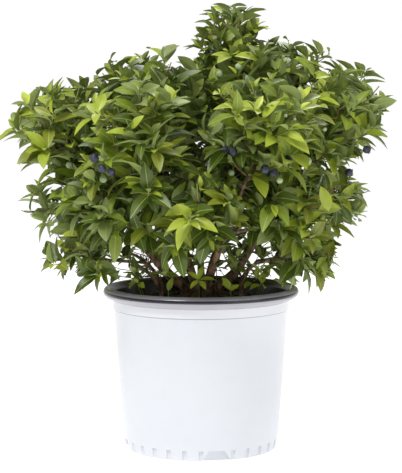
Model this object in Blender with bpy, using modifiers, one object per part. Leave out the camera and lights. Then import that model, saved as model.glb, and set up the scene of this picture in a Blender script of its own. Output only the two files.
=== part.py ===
"""A blueberry bush in a white nursery pot, modelled from named sizes.

The bush is one clump of canes that spread from a short root crown in the pot. Each cane carries boughs,
and each bough ends in a mass of foliage: a stem with side twigs, leaves and a few berries. A mass keeps to
its own space, a ball round its centre that is parted from its neighbours' balls by flat walls.
Metres, +Z up. The origin is the centre of the pot's flat underside, on the surface that it stands on.
The front of the bush is towards -Y.
"""

import math
import random
from dataclasses import dataclass

import bmesh
import bpy
import numpy as np
from mathutils import Matrix, Vector

UP = Vector((0, 0, 1))
GAP = 0.0003  # between pieces that touch
RING_WAVER = 0.006  # how far a mass strays from its ring's radius and height
GOLDEN_TURN = math.radians(137.5)  # from one leaf or twig to the next, round a blueberry stem

# Pot
POT_HEIGHT = 0.231
LIP_RADIUS = 0.140
LIP_CREST_RADIUS = 0.1325  # where the rolled lip is highest
LIP_DROP = 0.015  # height of the roll
LIP_BEVEL = 0.0012
LIP_ARC_STEPS = 6
NECK_RADIUS = 0.1262
NECK_TOP = 0.2130
NECK_FOOT = 0.199  # height where the neck steps in to the wall
STEP_HEIGHT = 0.0016
WALL_TOP_RADIUS = 0.1248
WALL_FOOT_RADIUS = 0.1112
WALL_FOOT = 0.018
HEEL_RADIUS = 0.1097
HEEL_HEIGHT = 0.0070
FOOT_RADIUS = 0.1075
WALL = 0.0022
FLOOR = 0.0030
FOOT_BAND = 0.0100  # width of the thick band round the floor that the flutes are sunk in
BAND_TOP = 0.0165
BAND_SLOPE_TOP = 0.0260
POT_STEPS = 44
FLUTES = 30
FLUTE_RADIUS = 0.0042
FLUTE_TAPER = 0.75
FLUTE_DEPTH = 0.0014
FLUTE_HEIGHT = 0.0135
FLUTE_SIDES = 6
NOTCHES = 4
NOTCH_AZIMUTH = math.radians(-78.5)
NOTCH_HEIGHT = 0.0148
NOTCH_DEPTH = 0.0062
NOTCH_FOOT_WIDTH = 0.042
NOTCH_TOP_WIDTH = 0.022
NOTCH_CUTTER_LENGTH = 0.03
DRAIN_HOLES = 6
DRAIN_RADIUS = 0.0060
DRAIN_SIDES = 10
DRAIN_CIRCLE = 0.070
CUTTER_SPARE = 0.001  # how far a cutter stands out of what it cuts

# Potting mix
SOIL_TOP = 0.2125
SOIL_EDGE = 0.2065
SOIL_FLAT_RADIUS = 0.070
SOIL_STEPS = 30

# Root crown
CROWN_TOP = 0.234
CROWN_FOOT_RADIUS = 0.047
CROWN_NECK_RADIUS = 0.0290
CROWN_STEPS = 15
CROWN_DOME = 0.22  # the part of its height that its rounded top takes
CROWN_FLARE_STEPS = 4
CROWN_FLARE_BEND = 2.2
CROWN_LOBES = 5
CROWN_LOBE_DEPTH = 0.14  # how far the root flare is lobed, as a share of its radius
FORK_HEIGHT = 0.221  # height of the ring that the canes spread from
FORK_RADIUS = 0.015  # and its radius
STUB_LENGTH = 0.025  # from that ring to where a cane leaves the crown
LEADER_STUB = 0.029

# Canes and boughs
CANE_SIDES = 6
CANE_STEPS = 9
CANE_FOOT_RADIUS = 0.0056
CANE_TIP_RADIUS = 0.0025
CANE_RISES = (0.66, 0.94, 0.94, 0.66)  # slopes at the canes' feet, in radians, in turn round the crown
CANE_SPRING = 0.066  # how far a cane runs on in the direction that it starts in
CANE_LANDING = 0.070  # and in the direction that it ends in
LEADER_RADIUS = 0.0052
LEADER_BEND = 0.085
LOW_CANE_FOOT = 0.064  # how far from the middle a low cane comes up
LOW_CANE_RADIUS = 0.0030
LOW_CANE_STEPS = 6
LOW_CANE_SPRING = 0.028
LOW_CANE_LANDING = 0.045
BOUGH_SIDES = 5
BOUGH_STEPS = 5
BOUGH_FOOT_RADIUS = 0.0034
BOUGH_TIP_RADIUS = 0.0022
COLLAR = 0.0012  # how far clear of its cane a bough is where its stub ends
BOUGH_SWEEP = 0.25  # how strongly a bough sets off along its cane
BOUGH_BEND = 0.35  # how far it keeps straight at each end, as a share of its length
BOUGH_SHARE = 0.85  # a bough is never thicker than this share of its cane
STUB_SWELL = 1.15  # how much thicker a stub is where it leaves what carries it
SIDE_BOUGH_FORK = 4  # the point along a cane that its bough leaves from
UPPER_BOUGH_FORKS = (4, 5, 3, 6, 4)  # and those along the leader
INNER_FORKS = (3, 2, 4, 3, 2)  # the points of the leader that the inner masses' stems leave from

# Foliage
TWIG_SIDES = 3
STEM_STEPS = 3
STEM_START = 0.68  # a mass's stem starts this far before its centre, as a share of its radius
STEM_REACH = 0.36  # and ends this far beyond it
STEM_RADIUS = 0.0022
STEM_TIP_RADIUS = 0.0016
TWIG_RADIUS = 0.0017
TWIG_TIP_RADIUS = 0.0014
TWIG_LENGTHS = (0.32, 0.50)  # shortest and longest, as shares of the mass's radius
TWIG_SPREAD = (0.85, 1.15)  # angle from the stem, in radians
TWIG_LIFT = 0.25  # how strongly a twig turns up
FIRST_TWIG = 0.18  # places of the first and last twig along a mass's stem, as shares of it
LAST_TWIG = 0.92
STEM_LEAVES = (0.45, 0.80)  # places of the leaves along a mass's stem, as shares of it
TWIG_LEAVES = ((0.62,), (0.42, 0.80))  # and along its twigs, in turn
LEAF_LENGTH = 0.067
LEAF_WIDTH = 0.040
LEAF_THICKNESS = 0.0016
LEAF_BROADEST = 0.44  # where a leaf is broadest, as a share of its length
LEAF_KEEL = 0.20  # and where it is thickest
LEAF_SINK = 0.0005  # how far a leaf's foot reaches past the middle of its twig
TIP_LEAF_SINK = 0.0014
LEAF_LIFT = 0.0012  # how far the blade arches up at its broadest
LEAF_DROOP = 0.0060  # and how far its tip hangs
LEAF_SPREAD = (0.80, 1.15)
LEAF_SCALES = (1.0, 0.85, 0.72, 0.60)
LEAF_SWINGS = (0.0, 0.5, -0.5, 1.0, -1.0)
FACE_UP = 0.55  # how strongly leaves face upwards
FACE_OUT = 0.90  # and away from the point of the bush's axis at FACE_HEIGHT
FACE_HEIGHT = 0.24
FACE_WAVER = 0.35
LEAF_RAISE = 0.15  # how strongly side leaves turn up
SAMPLES_LONG = 20  # points that are tested along a leaf or twig, and across a leaf
SAMPLES_WIDE = 8
TWIG_FREE = 4  # the first of these along a twig that is
BLADE_GAP = 0.0046  # least distance between the tested points of two leaves
LEAF_MARGIN = 0.0012  # and from them to a twig
CELL_MARGIN = 0.0004
CELL_RIM = 0.02  # limbs further than this from a mass's ball are too far off to matter
LIMB_MARGIN = 0.0026
TWIG_MARGIN = 0.0012
POT_MARGIN = 0.004
BERRY_RADIUS = 0.0062
BERRY_SIDES = 8
BERRY_BANDS = 5
BERRY_PLACE = 0.55  # its place along its twig, as a share
BERRY_DROP = 0.0050  # from the middle of the twig to the middle of the berry

LEAF_GREEN = (0.14, 0.24, 0.05)
BARK_BROWN = (0.23, 0.15, 0.10)


@dataclass
class Ring:
    """A ring of foliage masses round the bush.

    radius is from the bush's axis to the masses' centres, size is a mass's own radius, and rise is the slope
    of its stem in radians. The ring stands higher by lean metres a metre towards +X and by arch metres at
    the front and back, and its middle is shifted towards +X.
    """

    name: str
    azimuths: tuple
    radius: float
    height: float
    size: float
    rise: float
    twigs: int
    berries: int = 0
    lean: float = 0.0
    shift: float = 0.0
    arch: float = 0.0


@dataclass
class Mass:
    """A mass of foliage, the ball that it keeps to, and where its stem begins."""

    name: str
    ring: Ring
    azimuth: float
    centre: Vector
    heading: Vector
    entry: Vector
    seed: int

    @property
    def size(self):
        """Radius of the ball."""
        return self.ring.size


@dataclass
class Stub:
    """The foot of a cane, bough or stem, which stays with what carries it."""

    carrier: str
    points: list
    radius: float
    sides: int


@dataclass
class Limb:
    """A tapering cane or bough."""

    name: str
    points: list
    radii: list
    sides: int

    @property
    def segments(self):
        """Pairs of neighbouring points, with the radius of each."""
        return list(zip(self.points, self.points[1:], self.radii, self.radii[1:]))


def spaced(count, start_degrees):
    """Azimuths of a ring's masses, evenly spaced, in radians."""
    return tuple(math.radians(start_degrees) + 2 * math.pi * i / count for i in range(count))


LOW_AZIMUTHS = tuple(math.radians(degrees) for degrees in (28, 152, 208, 332))
RINGS = (
    Ring("top", spaced(1, 0), 0.0, 0.562, 0.080, math.pi / 2, 5, shift=0.032),
    Ring("upper", spaced(5, 18), 0.102, 0.483, 0.095, 1.05, 5, lean=0.14, shift=0.016),
    Ring("shoulder", spaced(8, 22.5), 0.197, 0.436, 0.103, 0.80, 5, berries=1, lean=0.06, arch=-0.012),
    Ring("side", spaced(8, 45), 0.166, 0.340, 0.094, 0.40, 5, arch=0.006),
    Ring("low", LOW_AZIMUTHS, 0.168, 0.276, 0.068, 0.14, 4, lean=0.0, shift=-0.006),
    Ring("inner", spaced(5, 54), 0.074, 0.388, 0.078, 0.50, 3),
)


def clear_scene():
    """Removes the scene's own objects."""
    for thing in list(bpy.data.objects):
        bpy.data.objects.remove(thing)


def principled(name, colour, roughness):
    """A plain material."""
    made = bpy.data.materials.new(name)
    made.use_nodes = True
    shader = made.node_tree.nodes["Principled BSDF"]
    shader.inputs["Base Color"].default_value = (*colour, 1)
    shader.inputs["Roughness"].default_value = roughness
    shader.inputs["Metallic"].default_value = 0
    return made


def new_object(name, mesh, collection, material):
    """Links a new object that holds this mesh and material."""
    made = bpy.data.objects.new(name, mesh)
    collection.objects.link(made)
    mesh.materials.clear()
    mesh.materials.append(material)
    return made


def shaped(name, shaping, collection, material):
    """A new object with the mesh that the function shaping builds in an empty bmesh."""
    mesh = bpy.data.meshes.new(name)
    form = bmesh.new()
    shaping(form)
    form.to_mesh(mesh)
    form.free()
    return new_object(name, mesh, collection, material)


def apply_modifiers(thing):
    """Puts the evaluated mesh in the object's place of its plain one."""
    graph = bpy.context.evaluated_depsgraph_get()
    mesh = bpy.data.meshes.new_from_object(thing.evaluated_get(graph))
    material = thing.data.materials[0]
    thing.modifiers.clear()
    thing.data = mesh
    mesh.name = thing.name
    mesh.materials.clear()
    mesh.materials.append(material)


def outward(azimuth, rise=0.0):
    """The unit vector that points this way from the bush's axis."""
    flat = math.cos(rise)
    return Vector((flat * math.cos(azimuth), flat * math.sin(azimuth), math.sin(rise)))


def bezier(a, b, c, d, steps):
    """Points along a cubic curve, whose first and last stretches run straight along its end tangents."""
    shares = [i / steps for i in range(steps + 1)]
    points = [
        a * (1 - t) ** 3 + b * 3 * t * (1 - t) ** 2 + c * 3 * t * t * (1 - t) + d * t ** 3 for t in shares
    ]
    points[1] = a + (b - a).normalized() * (points[1] - a).length
    points[-2] = d - (d - c).normalized() * (points[-2] - d).length
    return points


def taper(foot, tip, count):
    """Radii from foot to tip, falling fastest near the foot."""
    return [tip + (foot - tip) * (1 - i / (count - 1)) ** 1.4 for i in range(count)]


def wall_radius(height):
    """Outer radius of the pot's straight wall at this height."""
    share = (height - WALL_FOOT) / (NECK_FOOT - WALL_FOOT)
    return WALL_FOOT_RADIUS + (WALL_TOP_RADIUS - WALL_FOOT_RADIUS) * share


def turned(name, profile, steps, collection, material):
    """A profile of (radius, height) points turned about +Z."""
    mesh = bpy.data.meshes.new(name)
    mesh.from_pydata([(r, 0, z) for r, z in profile], [(i, i + 1) for i in range(len(profile) - 1)], [])
    made = new_object(name, mesh, collection, material)
    screw = made.modifiers.new("Turn", "SCREW")
    screw.steps = screw.render_steps = steps
    screw.use_merge_vertices = True
    screw.merge_threshold = 0.00005
    return made


def pot_profile():
    """The pot's outside from the rolled lip down, its flat underside, and its inside back up to the lip."""
    lip = []
    for i in range(LIP_ARC_STEPS + 1):
        angle = math.pi * i / LIP_ARC_STEPS
        reach = LIP_CREST_RADIUS + (LIP_RADIUS - LIP_CREST_RADIUS) * math.sin(angle)
        lip.append((reach, POT_HEIGHT - LIP_DROP / 2 * (1 - math.cos(angle))))
    outside = lip + [
        (NECK_RADIUS, NECK_TOP),
        (NECK_RADIUS, NECK_FOOT + STEP_HEIGHT),
        (WALL_TOP_RADIUS, NECK_FOOT),
        (WALL_FOOT_RADIUS, WALL_FOOT),
        (HEEL_RADIUS, HEEL_HEIGHT),
        (FOOT_RADIUS, 0),
        (0, 0),
    ]
    band = FOOT_RADIUS - FOOT_BAND
    inside = [
        (0, FLOOR),
        (band, FLOOR),
        (band, BAND_TOP),
        (wall_radius(BAND_SLOPE_TOP) - WALL, BAND_SLOPE_TOP),
        (wall_radius(NECK_FOOT) - WALL, NECK_FOOT),
        (NECK_RADIUS - WALL, NECK_FOOT + STEP_HEIGHT * 2),
        (NECK_RADIUS - WALL, POT_HEIGHT - LIP_DROP / 2),
        (LIP_CREST_RADIUS - WALL, POT_HEIGHT - LIP_BEVEL),
        lip[0],
    ]
    return outside + inside


def soil_profile():
    """The mix fills the pot to under its lip and is heaped a little at the middle."""
    clear = WALL + GAP * 2
    band = FOOT_RADIUS - FOOT_BAND - GAP
    return [
        (0, SOIL_TOP),
        (SOIL_FLAT_RADIUS, SOIL_TOP),
        ((SOIL_FLAT_RADIUS + NECK_RADIUS) / 2, SOIL_TOP - (SOIL_TOP - SOIL_EDGE) / 3),
        (NECK_RADIUS - clear, SOIL_EDGE),
        (NECK_RADIUS - clear, NECK_FOOT + STEP_HEIGHT * 2),
        (wall_radius(NECK_FOOT) - clear, NECK_FOOT),
        (wall_radius(BAND_SLOPE_TOP) - clear, BAND_SLOPE_TOP + GAP * 2),
        (band, BAND_TOP + GAP * 2),
        (band, FLOOR + GAP),
        (0, FLOOR + GAP),
    ]


def flute_cutter(form):
    """Upright grooves round the foot, narrower at the top."""
    for i in range(FLUTES):
        made = bmesh.ops.create_cone(
            form,
            cap_ends=True,
            segments=FLUTE_SIDES,
            radius1=FLUTE_RADIUS,
            radius2=FLUTE_RADIUS * FLUTE_TAPER,
            depth=FLUTE_HEIGHT + CUTTER_SPARE * 2,
        )
        reach = FOOT_RADIUS + FLUTE_RADIUS - FLUTE_DEPTH
        place = outward(2 * math.pi * (i + 0.5) / FLUTES) * reach + UP * FLUTE_HEIGHT / 2
        bmesh.ops.transform(form, matrix=Matrix.Translation(place), verts=made["verts"])


def notch_cutter(form):
    """Drainage notches in the foot, wide at the ground and narrow at the top."""
    for i in range(NOTCHES):
        made = bmesh.ops.create_cube(form, size=1)
        for vert in made["verts"]:
            high = vert.co.z > 0
            width = NOTCH_TOP_WIDTH if high else NOTCH_FOOT_WIDTH
            height = NOTCH_HEIGHT if high else -CUTTER_SPARE
            vert.co = Vector((vert.co.x * NOTCH_CUTTER_LENGTH, vert.co.y * width, height))
        away = Matrix.Translation((FOOT_RADIUS - NOTCH_DEPTH + NOTCH_CUTTER_LENGTH / 2, 0, 0))
        turn = Matrix.Rotation(NOTCH_AZIMUTH + 2 * math.pi * i / NOTCHES, 4, "Z")
        bmesh.ops.transform(form, matrix=turn @ away, verts=made["verts"])


def drain_cutter(form):
    """Round holes through the floor."""
    for i in range(DRAIN_HOLES):
        made = bmesh.ops.create_cone(
            form,
            cap_ends=True,
            segments=DRAIN_SIDES,
            radius1=DRAIN_RADIUS,
            radius2=DRAIN_RADIUS,
            depth=FLOOR + CUTTER_SPARE * 2,
        )
        place = outward(NOTCH_AZIMUTH + 2 * math.pi * i / DRAIN_HOLES) * DRAIN_CIRCLE + UP * FLOOR / 2
        bmesh.ops.transform(form, matrix=Matrix.Translation(place), verts=made["verts"])


def cut(body, name, shaping, cutters):
    """Cuts what the function shaping builds out of body."""
    tool = shaped(name, shaping, cutters, body.data.materials[0])
    tool.hide_render = True
    tool.display_type = "WIRE"
    boolean = body.modifiers.new(name, "BOOLEAN")
    boolean.operation = "DIFFERENCE"
    boolean.object = tool


def make_pot(parts, cutters, plastic):
    """The pot: turned, then fluted, notched and drilled."""
    pot = turned("pot", pot_profile(), POT_STEPS, parts, plastic)
    cut(pot, "flutes", flute_cutter, cutters)
    cut(pot, "notches", notch_cutter, cutters)
    cut(pot, "drain_holes", drain_cutter, cutters)


def ring_curve(sides):
    """The outline of a tube, a regular polygon of radius 1, as a curve to sweep along a path."""
    curve = bpy.data.curves.new("outline", "CURVE")
    curve.dimensions = "2D"
    spline = curve.splines.new("POLY")
    spline.points.add(sides - 1)
    for i, point in enumerate(spline.points):
        angle = 2 * math.pi * i / sides
        point.co = (math.cos(angle), math.sin(angle), 0, 1)
    spline.use_cyclic_u = True
    return bpy.data.objects.new("outline", curve)


def tube(name, points, radii, sides, collection, material):
    """A mesh tube with flat ends along a polyline, with its own radius at each point."""
    outline = ring_curve(sides)
    curve = bpy.data.curves.new("path", "CURVE")
    curve.dimensions = "3D"
    curve.bevel_mode = "OBJECT"
    curve.bevel_object = outline
    curve.use_fill_caps = True
    spline = curve.splines.new("POLY")
    spline.points.add(len(points) - 1)
    for point, place, radius in zip(spline.points, points, radii):
        point.co = (*place, 1)
        point.radius = radius
    path = bpy.data.objects.new("path", curve)
    collection.objects.link(path)
    graph = bpy.context.evaluated_depsgraph_get()
    mesh = bpy.data.meshes.new_from_object(path.evaluated_get(graph))
    mesh.name = name
    bpy.data.objects.remove(path)
    bpy.data.objects.remove(outline)
    form = bmesh.new()
    form.from_mesh(mesh)
    bmesh.ops.remove_doubles(form, verts=form.verts, dist=0.00002)
    bmesh.ops.recalc_face_normals(form, faces=form.faces)
    form.to_mesh(mesh)
    form.free()
    return new_object(name, mesh, collection, material)


def signed_volume(faces):
    """Volume inside a closed set of faces, below zero where they face inwards."""
    total = 0.0
    for face in faces:
        first, *rest = [vert.co for vert in face.verts]
        for b, c in zip(rest, rest[1:]):
            total += first.dot(b.cross(c)) / 6
    return total


def keep_main_body(mesh):
    """Drops every closed body but the largest: loose scraps, and hollows that a union sealed."""
    form = bmesh.new()
    form.from_mesh(mesh)
    left = set(form.faces)
    bodies = []
    while left:
        first = left.pop()
        body = {first}
        ahead = [first]
        while ahead:
            near = {n for edge in ahead.pop().edges for n in edge.link_faces if n in left}
            left -= near
            body |= near
            ahead.extend(near)
        bodies.append(body)
    main = max(bodies, key=signed_volume)
    spare = [face for body in bodies if body is not main for face in body]
    bmesh.ops.delete(form, geom=spare, context="FACES")
    form.to_mesh(mesh)
    form.free()


def unite(body, additions):
    """Joins the additions to body with one Boolean union, applies it, and removes them."""
    extra = bpy.data.collections.new("additions")
    bpy.context.scene.collection.children.link(extra)
    for thing in additions:
        for home in list(thing.users_collection):
            home.objects.unlink(thing)
        extra.objects.link(thing)
    boolean = body.modifiers.new("Join", "BOOLEAN")
    boolean.operation = "UNION"
    boolean.operand_type = "COLLECTION"
    boolean.collection = extra
    apply_modifiers(body)
    keep_main_body(body.data)
    for thing in list(extra.objects):
        bpy.data.objects.remove(thing)
    bpy.data.collections.remove(extra)


def plan_masses():
    """The masses of foliage, ring by ring."""
    masses = []
    for ring in RINGS:
        chance = random.Random(ring.name)
        for i, azimuth in enumerate(ring.azimuths):
            centre = outward(azimuth) * (ring.radius + chance.uniform(-RING_WAVER, RING_WAVER))
            centre.x += ring.shift
            centre.z = ring.height + ring.lean * centre.x + ring.arch * math.sin(azimuth) ** 2
            centre.z += chance.uniform(-RING_WAVER, RING_WAVER)
            name = f"leaf_mass_{ring.name}_{i + 1}" if len(ring.azimuths) > 1 else f"leaf_mass_{ring.name}"
            heading = outward(azimuth, ring.rise)
            entry = centre - heading * ring.size * STEM_START
            masses.append(Mass(name, ring, azimuth, centre, heading, entry, len(masses) + 1))
    return masses


def fork_off(carrier, fork, target, sweep, thickness, sides):
    """A stub on the carrier at one of its points, towards the target, and the direction of the stub."""
    start = carrier.points[fork]
    onward = (carrier.points[fork + 1] - carrier.points[fork - 1]).normalized()
    away = ((target - start).normalized() + onward * sweep).normalized()
    reach = (carrier.radii[fork] + thickness + COLLAR) / math.sin(away.angle(onward))
    return Stub(carrier.name, [start, start + away * reach], thickness, sides), away


def plan_bough(name, carrier, fork, mass):
    """A bough from this point of its cane to the mass's entry, and its stub."""
    foot = min(BOUGH_FOOT_RADIUS, carrier.radii[fork] * BOUGH_SHARE)
    stub, away = fork_off(carrier, fork, mass.entry, BOUGH_SWEEP, foot, BOUGH_SIDES)
    root = stub.points[-1] + away * GAP
    bend = (mass.entry - root).length * BOUGH_BEND
    points = bezier(root, root + away * bend, mass.entry - mass.heading * bend, mass.entry, BOUGH_STEPS)
    return Limb(name, points, taper(foot, BOUGH_TIP_RADIUS, len(points)), BOUGH_SIDES), stub


def plan_cane(name, azimuth, rise, mass):
    """A cane from the root crown to the mass's entry, and its stub."""
    away = outward(azimuth, rise)
    root = outward(azimuth) * FORK_RADIUS + UP * FORK_HEIGHT
    start = root + away * STUB_LENGTH
    landing = mass.entry - mass.heading * CANE_LANDING
    points = bezier(start, start + away * CANE_SPRING, landing, mass.entry, CANE_STEPS)
    stub = Stub("root_crown", [root, start - away * GAP], CANE_FOOT_RADIUS, CANE_SIDES)
    return Limb(name, points, taper(CANE_FOOT_RADIUS, CANE_TIP_RADIUS, len(points)), CANE_SIDES), stub


def plan_leader(mass):
    """The upright cane in the middle, and its stub."""
    root = UP * FORK_HEIGHT
    start = root + UP * LEADER_STUB
    bend = UP * LEADER_BEND
    points = bezier(start, start + bend, mass.entry - bend, mass.entry, CANE_STEPS)
    stub = Stub("root_crown", [root, start - UP * GAP], LEADER_RADIUS, CANE_SIDES)
    return Limb("cane_leader", points, taper(LEADER_RADIUS, CANE_TIP_RADIUS, len(points)), CANE_SIDES), stub


def plan_low_cane(name, mass):
    """A thin cane that comes up through the mix by itself and bends out over the pot's lip."""
    start = outward(mass.azimuth) * LOW_CANE_FOOT + UP * (SOIL_TOP + GAP)
    landing = mass.entry - mass.heading * LOW_CANE_LANDING
    points = bezier(start, start + UP * LOW_CANE_SPRING, landing, mass.entry, LOW_CANE_STEPS)
    return Limb(name, points, taper(LOW_CANE_RADIUS, BOUGH_TIP_RADIUS, len(points)), BOUGH_SIDES)


def plan_limbs(masses):
    """The canes and boughs, and the stubs on what carries them.

    Each mass is met by a limb at its entry, but an inner mass's stem leaves the leader itself.
    """
    rings = {ring.name: [mass for mass in masses if mass.ring is ring] for ring in RINGS}
    grown = []
    for i, mass in enumerate(rings["shoulder"]):
        cane, stub = plan_cane(f"cane_{i + 1}", mass.azimuth, CANE_RISES[i % len(CANE_RISES)], mass)
        grown.append((cane, stub))
        grown.append(plan_bough(f"bough_side_{i + 1}", cane, SIDE_BOUGH_FORK, rings["side"][i]))
    leader, stub = plan_leader(rings["top"][0])
    grown.append((leader, stub))
    for i, mass in enumerate(rings["upper"]):
        grown.append(plan_bough(f"bough_upper_{i + 1}", leader, UPPER_BOUGH_FORKS[i], mass))
    limbs = [limb for limb, stub in grown]
    stubs = [stub for limb, stub in grown]
    limbs += [plan_low_cane(f"cane_low_{i + 1}", mass) for i, mass in enumerate(rings["low"])]
    for i, mass in enumerate(rings["inner"]):
        stub, mass.heading = fork_off(leader, INNER_FORKS[i], mass.centre, 0, STEM_RADIUS, TWIG_SIDES)
        mass.entry = stub.points[-1]
        stubs.append(stub)
    return limbs, stubs


def crown_cone(parts, bark):
    """The root crown, flat on the mix and flared in lobes."""
    foot = SOIL_TOP + GAP
    tall = CROWN_TOP - foot
    profile = [(0, CROWN_TOP), (CROWN_NECK_RADIUS, CROWN_TOP - tall * CROWN_DOME)]
    for i in range(1, CROWN_FLARE_STEPS + 1):
        share = i / CROWN_FLARE_STEPS
        spread = (CROWN_FOOT_RADIUS - CROWN_NECK_RADIUS) * share ** CROWN_FLARE_BEND
        drop = tall * (CROWN_DOME + (1 - CROWN_DOME) * share)
        profile.append((CROWN_NECK_RADIUS + spread, CROWN_TOP - drop))
    profile.append((0, foot))
    crown = turned("root_crown", profile, CROWN_STEPS, parts, bark)
    apply_modifiers(crown)
    for vert in crown.data.vertices:
        flare = (CROWN_TOP - vert.co.z) / tall
        swell = 1 + CROWN_LOBE_DEPTH * flare * math.cos(CROWN_LOBES * math.atan2(vert.co.y, vert.co.x))
        vert.co.x *= swell
        vert.co.y *= swell
    return crown


def make_limbs(limbs, stubs, parts, bark):
    """The root crown, the canes and the boughs, each with the stubs that it carries."""
    bodies = {"root_crown": crown_cone(parts, bark)}
    for limb in limbs:
        bodies[limb.name] = tube(limb.name, limb.points, limb.radii, limb.sides, parts, bark)
    for name, body in bodies.items():
        additions = []
        for stub in stubs:
            if stub.carrier == name:
                widths = [stub.radius * STUB_SWELL, stub.radius]
                additions.append(tube("stub", stub.points, widths, stub.sides, parts, bark))
        if additions:
            unite(body, additions)


class Stretches:
    """Straight stretches of limbs or twigs, as arrays."""

    def __init__(self, segments):
        """Takes pairs of points with the radius at each."""
        self.feet = np.array([a for a, b, foot, tip in segments]).reshape(-1, 3)
        self.runs = np.array([b - a for a, b, foot, tip in segments]).reshape(-1, 3)
        self.radii = np.array([max(foot, tip) for a, b, foot, tip in segments])

    def clear(self, points, margin):
        """Whether every point is this far clear of them."""
        if not len(self.radii):
            return True
        offsets = points[:, None, :] - self.feet[None]
        shares = np.clip((offsets * self.runs).sum(axis=2) / (self.runs ** 2).sum(axis=1), 0, 1)
        gaps = np.linalg.norm(offsets - shares[:, :, None] * self.runs, axis=2)
        return bool((gaps > self.radii + margin).all())


class Room:
    """The space that a mass may fill: its own cell, clear of the limbs and the pot, and what fills it."""

    def __init__(self, mass, masses, limbs):
        """Notes the cell's walls and the limbs' stretches as arrays."""
        self.centre = np.array(mass.centre)
        self.size = mass.size
        others = [other for other in masses if other is not mass]
        away = np.array([other.centre - mass.centre for other in others])
        apart = np.linalg.norm(away, axis=1)
        sizes = np.array([other.size for other in others])
        self.wall_normals = away / apart[:, None]
        self.wall_places = (apart ** 2 + mass.size ** 2 - sizes ** 2) / (2 * apart) - CELL_MARGIN
        near = [
            segment
            for limb in limbs
            for segment in limb.segments
            if (segment[0] - mass.centre).length < mass.size + (segment[1] - segment[0]).length + CELL_RIM
        ]
        self.limbs = Stretches(near)
        self.shoots = Stretches([])
        self.leaves = np.empty((0, 3))

    def note_shoots(self, shoots):
        """Notes the stem and twigs that leaves keep clear of."""
        pairs = [pair for points in shoots for pair in zip(points, points[1:])]
        self.shoots = Stretches([(a, b, TWIG_RADIUS, TWIG_RADIUS) for a, b in pairs])

    def holds(self, points, margin):
        """Whether every point is in the cell, and margin clear of limbs."""
        points = np.array(points)
        inner = points - self.centre
        if (np.linalg.norm(inner, axis=1) > self.size).any():
            return False
        if (inner @ self.wall_normals.T > self.wall_places).any():
            return False
        radial = np.hypot(points[:, 0], points[:, 1])
        if ((radial < LIP_RADIUS + POT_MARGIN) & (points[:, 2] < POT_HEIGHT + POT_MARGIN)).any():
            return False
        return self.limbs.clear(points, margin)

    def takes_leaf(self, points):
        """Whether a leaf's blade has room, also among the shoots and leaves that are there."""
        if not self.holds(points, LIMB_MARGIN):
            return False
        blade = points[len(points) // 4::2]
        if not self.shoots.clear(blade, LEAF_MARGIN):
            return False
        gaps = np.linalg.norm(blade[:, None, :] - self.leaves[None], axis=2)
        if (gaps < BLADE_GAP).any():
            return False
        self.leaves = np.concatenate([self.leaves, blade])
        return True


def along(points, share):
    """The place and the direction at this share of a polyline's stretches."""
    place = share * (len(points) - 1)
    i = min(int(place), len(points) - 2)
    return points[i].lerp(points[i + 1], place - i), (points[i + 1] - points[i]).normalized()


def beside(direction, turn):
    """The unit vector square to this direction, turned this far round it."""
    side = direction.orthogonal().normalized()
    side.rotate(Matrix.Rotation(turn, 3, direction))
    return side


def leaf_frame(foot, direction, facing, scale):
    """The matrix that lays a leaf with its foot here, its tip this way and its upper face that way."""
    side = facing.cross(direction).normalized()
    upper = direction.cross(side)
    frame = Matrix((direction * scale, side * scale, upper * scale)).transposed().to_4x4()
    frame.translation = foot
    return frame


def blade_points():
    """Points spread over a leaf's blade, from its foot to its tip, to test where it reaches."""
    points = []
    for i in range(SAMPLES_LONG + 1):
        share = i / SAMPLES_LONG
        breadth = min(share / LEAF_BROADEST, (1 - share) / (1 - LEAF_BROADEST))
        height = LEAF_LIFT * breadth - LEAF_DROOP * max(0, share - LEAF_BROADEST) / (1 - LEAF_BROADEST)
        for j in range(SAMPLES_WIDE + 1):
            across = j / SAMPLES_WIDE - 0.5
            points.append((share * LEAF_LENGTH, across * breadth * LEAF_WIDTH, height))
    return np.array(points)


def make_leaf(frame, parts, green):
    """A leaf with four points to its outline and a keel under it, where its midrib is."""

    half = LEAF_WIDTH / 2

    def shaping(form):
        bmesh.ops.create_uvsphere(form, u_segments=3, v_segments=2, radius=1)
        for vert in form.verts:
            side, height, onward = vert.co
            if onward < -0.5:
                vert.co = Vector((0, 0, 0))
            elif onward > 0.5:
                vert.co = Vector((LEAF_LENGTH, 0, -LEAF_DROOP))
            elif abs(side) > 0.5:
                vert.co = Vector((LEAF_BROADEST * LEAF_LENGTH, math.copysign(half, side), LEAF_LIFT))
            else:
                vert.co = Vector((LEAF_KEEL * LEAF_LENGTH, 0, -LEAF_THICKNESS / 2))
        bmesh.ops.recalc_face_normals(form, faces=form.faces)
        bmesh.ops.transform(form, matrix=frame, verts=form.verts)

    return shaped("leaf", shaping, parts, green)


def grow_leaf(foot, direction, facing, room, parts, green):
    """A leaf here, smaller or swung aside where it must be, or none where there is no room."""
    blade = blade_points()
    for scale in LEAF_SCALES:
        for swing in LEAF_SWINGS:
            way = direction.copy()
            way.rotate(Matrix.Rotation(swing, 3, facing))
            frame = leaf_frame(foot - way * LEAF_SINK, way, facing, scale)
            if room.takes_leaf(blade @ np.array(frame.to_3x3()).T + np.array(frame.translation)):
                return [make_leaf(frame, parts, green)]
    return []


def face_of(direction, mass, chance):
    """The way a leaf's upper face looks: up, and out of the bush."""
    away = (mass.centre - UP * FACE_HEIGHT).normalized()
    waver = Vector([chance.uniform(-FACE_WAVER, FACE_WAVER) for _ in "xyz"])
    facing = UP * FACE_UP + away * FACE_OUT + waver
    return (facing - direction * facing.dot(direction)).normalized()


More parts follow.
